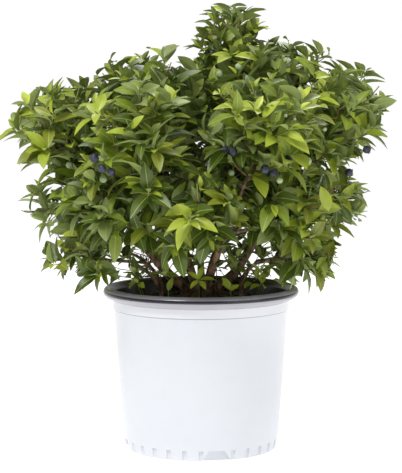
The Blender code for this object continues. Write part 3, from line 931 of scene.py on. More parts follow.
def report(piece: bpy.types.Object) -> None:
    """Logs a finished piece with its number of triangles."""
    triangles = sum(len(face.vertices) - 2 for face in piece.data.polygons)
    LOG.info("%s: %d triangles", piece.name, triangles)


def shade(colour: tuple[float, float, float], factor: float) -> tuple[float, float, float]:
    """A colour made lighter or darker by a factor."""
    return tuple(min(1.0, channel * factor) for channel in colour)


@dataclass(frozen=True)
class LeafFinish:
    """A leaf's surface: a soft waxy sheen over finely pebbled green."""

    name: str
    colour: tuple[float, float, float]
    roughness: float = 0.42
    coat: float = 0.08
    mottle: float = 0.14
    gloss: float = 0.56
    patch_scale: float = 60.0
    grain_scale: float = 900.0
    grain_depth: float = 0.0004

    def make(self) -> bpy.types.Material:
        """Builds the material."""
        nodes = Nodes(self.name)
        nodes.set(Roughness=self.roughness, Coat_Weight=self.coat, Coat_Roughness=0.35)
        nodes.set(Specular_IOR_Level=self.gloss)
        darker = shade(self.colour, 1 - self.mottle)
        lighter = shade(self.colour, 1 + self.mottle)
        patches = nodes.pattern(self.patch_scale, 2.0)
        nodes.paint(nodes.ramp(patches, [(0.30, darker), (0.70, lighter)]))
        nodes.bump(nodes.pattern(self.grain_scale, 2.0), 0.25, self.grain_depth)
        return nodes.material


@dataclass(frozen=True)
class BarkFinish:
    """Grey-brown bark with darker furrows and lighter ridges, warmed in patches where it has flaked."""

    name: str
    furrow: tuple[float, float, float]
    ridge: tuple[float, float, float]
    flake: tuple[float, float, float]
    roughness: float = 0.85
    scale: float = 190.0
    patch_scale: float = 26.0
    furrow_depth: float = 0.0008
    furrow_stops: tuple[float, float] = (0.36, 0.62)
    flake_stops: tuple[float, float] = (0.46, 0.60)

    def make(self) -> bpy.types.Material:
        """Builds the material."""
        nodes = Nodes(self.name)
        nodes.set(Roughness=self.roughness)
        ridges = nodes.pattern(self.scale, 6.0, (1, 1, 0.35))
        grey = nodes.ramp(ridges, list(zip(self.furrow_stops, (self.furrow, self.ridge))))
        warm = nodes.ramp(ridges, list(zip(self.furrow_stops, (shade(self.furrow, 1.3), self.flake))))
        spots = nodes.pattern(self.patch_scale, 3.0)
        patches = nodes.ramp(spots, list(zip(self.flake_stops, ((0, 0, 0), (1, 1, 1)))))
        nodes.paint(nodes.blend(patches, grey, warm))
        nodes.bump(nodes.pattern(self.scale * 3, 4.0, (1, 1, 0.3)), 0.6, self.furrow_depth)
        return nodes.material


@dataclass(frozen=True)
class BerryFinish:
    """A berry's skin, with a pale bloom that is rubbed off in places."""

    name: str
    skin: tuple[float, float, float]
    bloom: tuple[float, float, float]
    roughness: float = 0.45
    bloom_scale: float = 190.0
    grain_scale: float = 1200.0
    grain_depth: float = 0.0003

    def make(self) -> bpy.types.Material:
        """Builds the material."""
        nodes = Nodes(self.name)
        nodes.set(Roughness=self.roughness)
        patches = nodes.pattern(self.bloom_scale, 3.0)
        nodes.paint(nodes.ramp(patches, [(0.36, self.skin), (0.66, self.bloom)]))
        nodes.bump(nodes.pattern(self.grain_scale, 2.0), 0.12, self.grain_depth)
        return nodes.material


@dataclass(frozen=True)
class PlasticFinish:
    """Moulded plastic: glossy, with the faint waves of the mould and a little dust."""

    name: str
    colour: tuple[float, float, float]
    dust: tuple[float, float, float]
    roughness: float = 0.30
    dust_scale: float = 46.0
    smear: float = 0.06
    wave_scale: float = 420.0
    wave_depth: float = 0.0004

    def make(self) -> bpy.types.Material:
        """Builds the material."""
        nodes = Nodes(self.name)
        nodes.set(Coat_Weight=0.30, Coat_Roughness=0.12)
        dusting = nodes.pattern(self.dust_scale, 6.0)
        nodes.paint(nodes.ramp(dusting, [(0.50, self.colour), (0.90, self.dust)]))
        spread = nodes.add("ShaderNodeMapRange")
        spread.inputs["To Min"].default_value = self.roughness - self.smear / 2
        spread.inputs["To Max"].default_value = self.roughness + self.smear
        nodes.link(dusting, "Fac", spread, "Value")
        nodes.link(spread, "Result", nodes.shader, "Roughness")
        nodes.bump(nodes.pattern(self.wave_scale, 3.0), 0.05, self.wave_depth)
        return nodes.material


@dataclass(frozen=True)
class MixFinish:
    """Damp bark and peat."""

    name: str
    dark: tuple[float, float, float]
    light: tuple[float, float, float]
    roughness: float = 0.95
    crumb_scale: float = 320.0
    lump_scale: float = 260.0
    lump_depth: float = 0.0025

    def make(self) -> bpy.types.Material:
        """Builds the material."""
        nodes = Nodes(self.name)
        nodes.set(Roughness=self.roughness)
        crumbs = nodes.pattern(self.crumb_scale, 8.0)
        nodes.paint(nodes.ramp(crumbs, [(0.35, self.dark), (0.72, self.light)]))
        nodes.bump(nodes.pattern(self.lump_scale, 8.0), 0.9, self.lump_depth)
        return nodes.material


class Finishes:
    """Every material of the scene, made once."""

    def __init__(self) -> None:
        """Makes the materials."""
        greens = {
            Tone.LIME: (0.520, 0.600, 0.060),
            Tone.FRESH: (0.380, 0.460, 0.036),
            Tone.MID: (0.212, 0.284, 0.020),
            Tone.DEEP: (0.078, 0.120, 0.010),
            Tone.SAGE: (0.225, 0.280, 0.085),
            Tone.OLIVE: (0.215, 0.248, 0.018),
        }
        self.leaves = [LeafFinish(f"leaf_{tone.name.lower()}", greens[tone]).make() for tone in Tone]
        self.underside = len(self.leaves)
        self.leaves.append(LeafFinish("leaf_underside", (0.270, 0.340, 0.095), 0.62, 0.0).make())
        self.midrib = len(self.leaves)
        self.leaves.append(LeafFinish("leaf_midrib", (0.400, 0.500, 0.100), 0.50, 0.0).make())
        barks = (
            ("cane_bark", (0.062, 0.043, 0.029), (0.300, 0.215, 0.145), (0.460, 0.270, 0.145)),
            ("root_bark", (0.018, 0.013, 0.010), (0.120, 0.082, 0.055), (0.170, 0.100, 0.058)),
            ("twig_bark", (0.085, 0.057, 0.028), (0.260, 0.190, 0.085), (0.330, 0.175, 0.075)),
        )
        self.bark, self.root_bark, self.twig = [BarkFinish(*bark).make() for bark in barks]
        self.shoot = LeafFinish("green_shoot", (0.200, 0.270, 0.050), 0.50).make()
        ripe = BerryFinish("ripe_berry", (0.007, 0.008, 0.020), (0.060, 0.072, 0.115))
        green = BerryFinish("green_berry", (0.250, 0.350, 0.150), (0.420, 0.500, 0.290))
        bud = BerryFinish("pale_bud", (0.480, 0.500, 0.330), (0.640, 0.640, 0.500))
        calyx = LeafFinish("berry_calyx", (0.060, 0.050, 0.045), 0.70, 0.0)
        self.berries = [finish.make() for finish in (ripe, green, calyx, bud)]
        skins = {
            Skin.WHITE: ("white_plastic", (0.712, 0.732, 0.778), (0.690, 0.710, 0.748), 0.34),
            Skin.BLACK: ("black_lining", (0.012, 0.010, 0.018), (0.030, 0.028, 0.036), 0.20),
            # The lip's top is light grey: a painted highlight.
            Skin.SCUFFED: ("scuffed_lip", (0.250, 0.240, 0.285), (0.330, 0.320, 0.360), 0.16),
            # White plastic darkened to grey under the lip and on the step: painted shade.
            Skin.GREY: ("grey_under_lip", (0.400, 0.392, 0.425), (0.430, 0.422, 0.455), 0.34),
            # A whiter plastic on the neck: painted light against the lip's shadow.
            Skin.NECK: ("white_neck", (0.800, 0.815, 0.860), (0.780, 0.795, 0.830), 0.34),
        }
        self.plastic = [PlasticFinish(*skins[skin]).make() for skin in Skin]
        self.mix = MixFinish("damp_mix", (0.010, 0.007, 0.005), (0.075, 0.045, 0.028)).make()
        self.chips = MixFinish("bark_chips", (0.030, 0.018, 0.011), (0.135, 0.078, 0.045)).make()


@dataclass(frozen=True)
class LeafForm:
    """The shape of one kind of leaf, one unit long: an ellipse drawn out to a point at both ends.

    width is its greatest breadth, fold the height of its edges over the midrib as a share of their
    distance from it, droop how far the tip hangs, wave how far the edges ripple, and arch how far the midrib
    bends up.
    """

    width: float
    fold: float
    droop: float
    wave: float
    broadest: float = 0.46
    thickness: float = 0.009
    rib: float = 0.024
    stations: tuple[float, ...] = (0.0, 0.07, 0.22, 0.40, 0.58, 0.76, 0.90, 1.0)
    petiole: float = 0.07
    arch: float = 0.06
    ripples: float = 9.0
    ripple_shift: float = 1.3

    def breadth(self, share: float) -> float:
        """Half the blade's breadth at a share of its length."""
        if share <= self.petiole:
            return self.rib * 0.8
        inner = (share - self.petiole) / (1 - self.petiole)
        peak = (self.broadest - self.petiole) / (1 - self.petiole)
        skew = math.log(0.5) / math.log(peak)
        return max(self.rib * 0.5, self.width / 2 * math.sin(math.pi * inner ** skew) ** 0.85)

    def place(self, share: float, across: float) -> Vector:
        """Where a point of the upper face is.

        Args:
            share: How far along the leaf it is, from 0 to 1.
            across: Its distance from the midrib, whose sign tells the side.

        Returns:
            The point.
        """
        shift = self.ripple_shift if across > 0 else 0
        ripple = self.wave * math.sin(share * self.ripples + shift) * abs(across) / self.width
        height = self.fold * abs(across) * (1 - 0.5 * share) - self.droop * share ** 2.2 + ripple
        return Vector((share, across, height + self.arch * math.sin(math.pi * share)))

    def make(self) -> SmallForm:
        """Builds the leaf: a grid drawn in at both ends, with an underside joined on round its edge."""
        form = bmesh.new()
        rows = len(self.stations) - 1
        grid = bmesh.ops.create_grid(form, x_segments=3, y_segments=rows, size=1)
        for vert in grid["verts"]:
            row = round((vert.co.y + 1) / 2 * rows)
            column = round((vert.co.x + 1) / 2 * 3)
            share = self.stations[row]
            ended = row in (0, rows)
            breadth = 0.0 if ended else self.breadth(share)
            rib = 0.0 if ended else min(self.rib * (1 - 0.6 * share), breadth * 0.7) / 2
            across = (breadth, rib, -rib, -breadth)[column]
            vert.co = self.place(share, across)
        for face in form.faces:
            middle = face.calc_center_median()
            face.material_index = 1 if abs(middle.y) < self.rib / 3 else 0
        bmesh.ops.remove_doubles(form, verts=form.verts, dist=0.0001)
        upper = list(form.faces)
        outline = {vert for edge in form.edges if edge.is_boundary for vert in edge.verts}
        copied = bmesh.ops.duplicate(form, geom=list(form.verts) + list(form.edges) + upper)
        lower = [item for item in copied["geom"] if isinstance(item, bmesh.types.BMFace)]
        bmesh.ops.reverse_faces(form, faces=lower)
        kept = {copied["vert_map"][vert] for vert in outline}
        for vert in {vert for face in lower for vert in face.verts} - kept:
            vert.co.z -= self.thickness
        for face in lower:
            face.material_index += 2
        bmesh.ops.remove_doubles(form, verts=form.verts, dist=0.00005)
        for edge in form.edges:
            numbers = {face.material_index // 2 for face in edge.link_faces}
            edge.smooth = len(numbers) == 1
        return SmallForm.from_bmesh(form)


@dataclass(frozen=True)
class BerryForm:
    """A blueberry, one unit across, hanging along -Z from its stalk, with a crown of calyx lobes below."""

    squash: float = 0.90
    sides: int = 12
    bands: int = 8
    lobes: int = 6
    crown_radius: float = 0.17
    crown_height: float = 0.10
    hollow: float = 0.10

    def make(self) -> SmallForm:
        """Builds the berry."""
        form = bmesh.new()
        bmesh.ops.create_uvsphere(form, u_segments=self.sides, v_segments=self.bands, radius=0.5)
        for vert in form.verts:
            vert.co.z *= self.squash
        foot = min(form.verts, key=lambda vert: vert.co.z)
        cap = list(foot.link_faces)
        rim = bmesh.ops.inset_region(form, faces=cap, thickness=0.02, depth=0.0)["faces"]
        for vert in {vert for face in cap for vert in face.verts} - {foot}:
            flat = Vector((vert.co.x, vert.co.y, 0)).normalized()
            lobe = 0.5 + 0.5 * math.cos(self.lobes * math.atan2(vert.co.y, vert.co.x))
            vert.co = flat * self.crown_radius - UP * (self.squash / 2 + self.crown_height * lobe)
        foot.co.z = -self.squash / 2 + self.hollow
        for face in cap + rim:
            face.material_index = 1
        bmesh.ops.recalc_face_normals(form, faces=form.faces)
        return SmallForm.from_bmesh(form)


@dataclass(frozen=True)
class Shoot:
    """A stem, twig or shoot: its points and radii, and whether it is still green."""

    points: list[Vector]
    radii: list[float]
    green: bool


@dataclass(frozen=True)
class Leaf:
    """A leaf: which form it has, how that is turned and scaled, where its stalk springs, and its green."""

    kind: int
    matrix: np.ndarray
    place: np.ndarray
    tone: Tone


@dataclass(frozen=True)
class Berry:
    """A berry or bud: how its form is turned and scaled, where it hangs, and how far it has come."""

    matrix: np.ndarray
    place: np.ndarray
    fruit: Fruit


@dataclass
class Growth:
    """What has grown: shoots, leaves and berries."""

    shoots: list[Shoot] = field(default_factory=list)
    leaves: list[Leaf] = field(default_factory=list)
    berries: list[Berry] = field(default_factory=list)


@dataclass(frozen=True)
class BerrySite:
    """A place where berries show at the front: the x and z where its line of sight meets the plane y = 0."""

    x: float
    z: float
    fruits: tuple[Fruit, ...]

    def miss(self, place: Vector, eye: Vector) -> float:
        """How far from the line of sight a place is, as seen in the plane y = 0."""
        scale = eye.y / (eye.y - place.y)
        across = eye.x + (place.x - eye.x) * scale - self.x
        return math.hypot(across, eye.z + (place.z - eye.z) * scale - self.z)

    def point(self, depth: float, eye: Vector) -> Vector:
        """The point of the line of sight at this y."""
        goal = Vector((self.x, 0, self.z))
        return eye.lerp(goal, (eye.y - depth) / eye.y)


@dataclass
class Habit:
    """How twigs and leaves grow, shared by every mass."""

    stem_reach: float = 0.42
    stem_radii: tuple[float, float] = (0.0021, 0.0012)
    stem_steps: int = 6
    twig_lengths: tuple[float, float] = (0.44, 0.86)
    twig_radii: tuple[float, float] = (0.0014, 0.0008)
    twig_spread: tuple[float, float] = (0.60, 1.15)
    shoot_lengths: tuple[float, float] = (0.24, 0.46)
    shoot_radii: tuple[float, float] = (0.0010, 0.0006)
    shoot_places: tuple[float, ...] = (0.30, 0.56, 0.80)
    shoot_scales: tuple[float, ...] = (1.0, 0.8, 0.62)
    lift: float = 0.34
    first_twig: float = 0.06
    last_twig: float = 0.96
    twig_factor: float = 2.2
    wander: float = 0.11
    bend: float = 0.4
    shoot_steps: int = 4
    stem_sink: float = 0.001
    leaf_pitch: float = 0.0090
    leaf_lengths: tuple[float, float] = (0.032, 0.050)
    leaf_spread: tuple[float, float] = (0.62, 1.10)
    leaf_lift: float = 0.16
    bare_foot: float = 0.12
    tip_leaves: int = 5
    tip_spread: float = 0.24
    tip_spread_step: float = 0.19
    tip_length: float = 0.019
    tip_length_step: float = 0.0052
    tip_pitch: float = 0.0012
    tip_waver: tuple[float, float] = (0.85, 1.15)
    young_leaves: int = 2
    spray_share: float = 0.75
    spacing: float = 0.0050
    limb_margin: float = 0.0012
    twig_margin: float = 0.002
    foot_room: float = 0.009
    reach_spread: tuple[float, float] = (-0.020, 0.009)
    scales: tuple[float, ...] = (1.0, 0.86, 0.72)
    swings: tuple[float, ...] = (0.0, 0.4, -0.4, 0.8, -0.8)
    face_height: float = 0.24
    face_waver: float = 0.30
    face_pulls: tuple[float, float, float] = (0.60, 0.60, 0.45)
    tone_limits: tuple[tuple[float, Tone], ...] = (
        (0.20, Tone.FRESH),
        (0.54, Tone.MID),
        (0.66, Tone.OLIVE),
        (0.78, Tone.SAGE),
    )
    # These paint shade into the greens of leaves inside and low in the crown, and light into those on the
    # right.
    inner_shade: float = 0.75
    inner_reach: float = 0.95
    heart: tuple[float, float, float] = (0.0, 0.0, 0.36)
    crown_reach: tuple[float, float] = (0.27, 0.26)
    young_share: float = 0.42
    low_line: float = 0.37
    low_shade: float = 3.4
    side_light: float = 0.6
    berry_radii: dict[Fruit, tuple[float, float]] = field(
        default_factory=lambda: {
            Fruit.RIPE: (0.0056, 0.0066),
            Fruit.GREEN: (0.0044, 0.0054),
            Fruit.BUD: (0.0022, 0.0030),
        }
    )
    berry_margin: float = 0.001
    berry_spare: float = 0.006
    berry_spacing: float = 0.003
    berry_pitch: float = 0.0115
    hold_places: tuple[float, ...] = (0.35, 0.6, 0.85)
    hold_depth: float = 0.35
    stalk: float = 0.010
    stalk_radii: tuple[float, float, float] = (0.0006, 0.0005, 0.0007)
    cluster_start: float = 0.55
    cluster_step: float = 0.1
    cluster_turn: float = 2.4
    cluster_drop: float = 0.006
    cluster: tuple[Fruit, ...] = (Fruit.RIPE, Fruit.GREEN, Fruit.RIPE, Fruit.GREEN, Fruit.RIPE)
    sight_steps: int = 5
    sight_step: float = 0.007
    cell_rim: float = 0.02
    lip: tuple[float, float] = (0.144, 0.235)


class Grower:
    """Grows foliage by a seeded rule in a space of its own."""

    def __init__(self, cell: Cell, habit: Habit, heart: Vector, size: float, seed: int) -> None:
        """Readies the growth.

        Args:
            cell: The space that it fills.
            habit: How it grows.
            heart: The middle of the space.
            size: Its radius, which twigs are measured by.
            seed: The number that its chance starts from.
        """
        self.cell = cell
        self.habit = habit
        self.heart = heart
        self.size = size
        self.chance = random.Random(seed)
        self.growth = Growth()
        self.spare = 0.0
        blade = [(0.25, 0, 0.02), (0.42, 0.09, 0.03), (0.42, -0.09, 0.03)]
        tip = [(0.62, 0, 0.03), (0.80, 0, 0.0), (0.97, 0, -0.05)]
        self.probes = np.array(blade + tip)

    def grow_mass(self, mass: Mass, kinds: int, sites: Sequence[BerrySite], eye: Vector) -> Growth:
        """Grows a mass's stem, its twigs and their shoots, then berries and leaves.

        Args:
            mass: The mass.
            kinds: How many forms of leaf there are.
            sites: Where berries show on it.
            eye: Where they are seen from.

        Returns:
            What has grown.
        """
        habit = self.habit
        start = mass.entry - mass.heading * habit.stem_sink
        upward = (mass.heading + UP * habit.lift).normalized()
        tip = mass.centre + upward * mass.size * habit.stem_reach
        stem = bezier(start, start.lerp(mass.centre, 0.5), mass.centre, tip, habit.stem_steps)
        self.growth.shoots.append(Shoot(stem, taper(*habit.stem_radii, len(stem)), False))
        phase = mass.seed * GOLDEN_TURN
        count = round(mass.ring.twigs * habit.twig_factor)
        twigs = []
        for k in range(count):
            share = habit.first_twig + (habit.last_twig - habit.first_twig) * k / (count - 1)
            place, onward = along(stem, share)
            turn = phase + k * GOLDEN_TURN
            twigs += self.grow_shoot(place, onward, turn, habit.twig_lengths, habit.twig_radii, False)
        shoots = []
        for k, twig in enumerate(twigs):
            for j, share in enumerate(habit.shoot_places):
                place, onward = along(twig, share)
                turn = phase + (k + j * 1.5) * GOLDEN_TURN
                shoots += self.grow_shoot(place, onward, turn, habit.shoot_lengths, habit.shoot_radii, True)
        grown = shoots + twigs + [stem]
        for site in sites:
            self.hang_at(site, grown, eye)
        if mass.centre.y > 0:
            for twig in twigs[: mass.ring.clusters]:
                self.grow_cluster(twig)
        for k, shoot in enumerate(grown):
            self.grow_leaves(shoot, phase + k, kinds)
        return self.growth

    def grow_shoot(
        self,
        start: Vector,
        onward: Vector,
        turn: float,
        lengths: tuple[float, float],
        radii: tuple[float, float],
        green: bool,
    ) -> list[list[Vector]]:
        """Grows a twig or shoot that bends up to the light.

        Args:
            start: Where it springs from.
            onward: The direction of what carries it.
            turn: The angle round that direction.
            lengths: Its shortest and longest length, as shares of the space's radius.
            radii: Its radius at foot and tip.
            green: Whether it is a green shoot.

        Returns:
            A list of its points, or an empty one where there is no room for it.
        """
        habit, chance = self.habit, self.chance
        spread = chance.uniform(*habit.twig_spread)
        first = swung(onward, turn, spread).normalized()
        length = self.size * chance.uniform(*lengths)
        for scale in habit.shoot_scales:
            way = first.copy()
            points = [start]
            for _ in range(habit.shoot_steps):
                way = way + UP * habit.lift * habit.bend
                way = way + Vector([chance.uniform(-habit.wander, habit.wander) for _ in "xyz"])
                way.normalize()
                points.append(points[-1] + way * length * scale / habit.shoot_steps)
            tests = np.array([along(points, i / 10)[0] for i in range(2, 11)])
            tests = tests[np.linalg.norm(tests - np.array(start), axis=1) > habit.foot_room]
            if self.cell.holds(tests, habit.twig_margin):
                self.growth.shoots.append(Shoot(points, taper(*radii, len(points)), green))
                return [points]
        return []

    def face_of(self, way: Vector, onward: Vector) -> Vector:
        """The way a leaf's upper face looks: to its shoot's tip, up, and out of the bush."""
        away = (self.heart - UP * self.habit.face_height).normalized()
        waver = self.habit.face_waver
        along_pull, up_pull, out_pull = self.habit.face_pulls
        facing = onward * along_pull + UP * up_pull + away * out_pull
        facing = facing + Vector([self.chance.uniform(-waver, waver) for _ in "xyz"])
        return (facing - way * facing.dot(way)).normalized()

    def grow_leaf(
        self, foot: Vector, way: Vector, onward: Vector, length: float, kind: int, tone: Tone
    ) -> None:
        """Grows a leaf, smaller or swung aside where it must be, or none where there is no room.

        Args:
            foot: Where its stalk springs from.
            way: The direction that it points in.
            onward: The direction of its shoot.
            length: Its length.
            kind: Which form it has.
            tone: Its green.
        """
        facing = self.face_of(way, onward)
        for scale in self.habit.scales:
            for swing in self.habit.swings:
                axis = way.copy()
                axis.rotate(Matrix.Rotation(swing, 3, facing))
                side = facing.cross(axis).normalized()
                matrix = np.array((axis, side, axis.cross(side))).T * length * scale
                place = np.array(foot)
                points = self.probes @ matrix.T + place
                if not self.cell.holds(points, self.habit.limb_margin, self.spare):
                    continue
                if self.cell.takes(points, self.habit.spacing):
                    self.growth.leaves.append(Leaf(kind, matrix, place, tone))
                    return

    def tone_of(self, place: Vector) -> Tone:
        """Deals out a green, with painted shade that makes it deeper inside and low in the crown, and painted
        light that makes it lighter at its outside and its right.

        Args:
            place: Where the leaf springs from.

        Returns:
            The green.
        """
        habit = self.habit
        wide, tall = habit.crown_reach
        inner = place - Vector(habit.heart)
        reach = math.hypot(math.hypot(inner.x, inner.y) / wide, inner.z / tall)
        lower = max(0.0, habit.low_line - place.z)
        # Inner and low leaves draw deeper greens as painted shade; leaves on the right draw lighter ones as
        # painted light.
        draw = self.chance.random() + habit.inner_shade * max(0.0, habit.inner_reach - reach)
        draw += habit.low_shade * lower - habit.side_light * max(0.0, place.x)
        for limit, tone in habit.tone_limits:
            if draw < limit:
                return tone
        return Tone.DEEP

    def grow_leaves(self, points: Sequence[Vector], turn: float, kinds: int) -> None:
        """Grows a rosette of young leaves at a shoot's tip, and leaves back along it by the golden turn.

        Args:
            points: The shoot.
            turn: The angle round it of the first leaf.
            kinds: How many forms of leaf there are.
        """
        habit, chance = self.habit, self.chance
        self.spare = chance.uniform(*habit.reach_spread)
        length = sum((b - a).length for a, b in zip(points, points[1:]))
        tip, onward = points[-1], (points[-1] - points[-2]).normalized()
        spray = self.tone_of(tip)
        bright = chance.random() < habit.young_share and spray is not Tone.DEEP
        young = Tone.LIME if bright else Tone.FRESH
        for i in range(habit.tip_leaves):
            way = swung(onward, turn + i * GOLDEN_TURN, habit.tip_spread + habit.tip_spread_step * i)
            size = (habit.tip_length + habit.tip_length_step * i) * chance.uniform(*habit.tip_waver)
            tone = young if i < habit.young_leaves else spray
            foot = tip - onward * habit.tip_pitch * i
            self.grow_leaf(foot, way, onward, size, chance.randrange(2), tone)
        count = int(length / habit.leaf_pitch)
        for i in range(count):
            share = 1 - (i + 0.9) / (count + 1)
            if share < habit.bare_foot:
                break
            place, onward = along(points, share)
            spread = chance.uniform(*habit.leaf_spread)
            way = swung(onward, turn + (i + habit.tip_leaves) * GOLDEN_TURN, spread)
            way = (way + UP * habit.leaf_lift).normalized()
            size = chance.uniform(*habit.leaf_lengths)
            tone = spray if chance.random() < habit.spray_share else self.tone_of(place)
            self.grow_leaf(place, way, onward, size, chance.randrange(1, kinds), tone)

    def hang_berry(self, hold: Vector, centre: Vector, fruit: Fruit) -> bool:
        """Hangs a berry on a stalk of its own.

        Args:
            hold: Where the stalk springs from.
            centre: The middle of the berry.
            fruit: How far it has come.

        Returns:
            Whether there was room for it.
        """
        habit = self.habit
        radius = self.chance.uniform(*habit.berry_radii[fruit])
        hang = (centre - hold).normalized()
        across = UP.cross(hang)
        surface = np.array([centre + way * radius for way in (UP, -UP, hang, -hang, across, -across)])
        if not self.cell.holds(surface, habit.berry_margin, habit.berry_spare):
            return False
        if not self.cell.takes(surface, habit.berry_spacing):
            return False
        side = hang.orthogonal().normalized()
        matrix = np.array((side, (-hang).cross(side), -hang)).T * radius * 2
        self.growth.berries.append(Berry(matrix, np.array(centre), fruit))
        end = centre - hang * radius * 0.85
        stalk = [hold, hold.lerp(end, 0.6) + UP * 0.001, end]
        self.growth.shoots.append(Shoot(stalk, list(habit.stalk_radii), True))
        return True

    def hang_at(self, site: BerrySite, grown: Sequence[Sequence[Vector]], eye: Vector) -> None:
        """Hangs berries from the shoot nearest to a line of sight, and keeps leaves from hiding them.

        Args:
            site: Where they show.
            grown: The shoots.
            eye: Where they are seen from.
        """
        habit = self.habit
        holds = [along(points, share)[0] for points in grown for share in habit.hold_places]
        hold = min(holds, key=lambda place: site.miss(place, eye) + habit.hold_depth * place.y)
        aim = site.point(hold.y - habit.stalk * 0.7, eye)
        drift = aim - hold
        if drift.length > habit.stalk * 2:
            drift = drift.normalized() * habit.stalk * 2
        for i, fruit in enumerate(site.fruits):
            centre = hold + drift + (UP * 0.4 - Vector((1, 0, 0))) * habit.berry_pitch * i
            if self.hang_berry(hold, centre, fruit):
                sight = (eye - centre).normalized() * habit.sight_step
                cleared = [np.array(centre + sight * (k + 1)) for k in range(habit.sight_steps)]
                self.cell.taken = np.concatenate([self.cell.taken, cleared])

    def grow_cluster(self, points: Sequence[Vector]) -> None:
        """Hangs a cluster of berries from a twig."""
        habit = self.habit
        for i, fruit in enumerate(habit.cluster):
            place, onward = along(points, habit.cluster_start + habit.cluster_step * i)
            out = (place - UP * habit.face_height).normalized()
            hang = (-UP * 0.7 + out * 0.9 + beside(onward, i * habit.cluster_turn) * 0.6).normalized()
            self.hang_berry(place, place + hang * (habit.stalk + habit.cluster_drop), fruit)


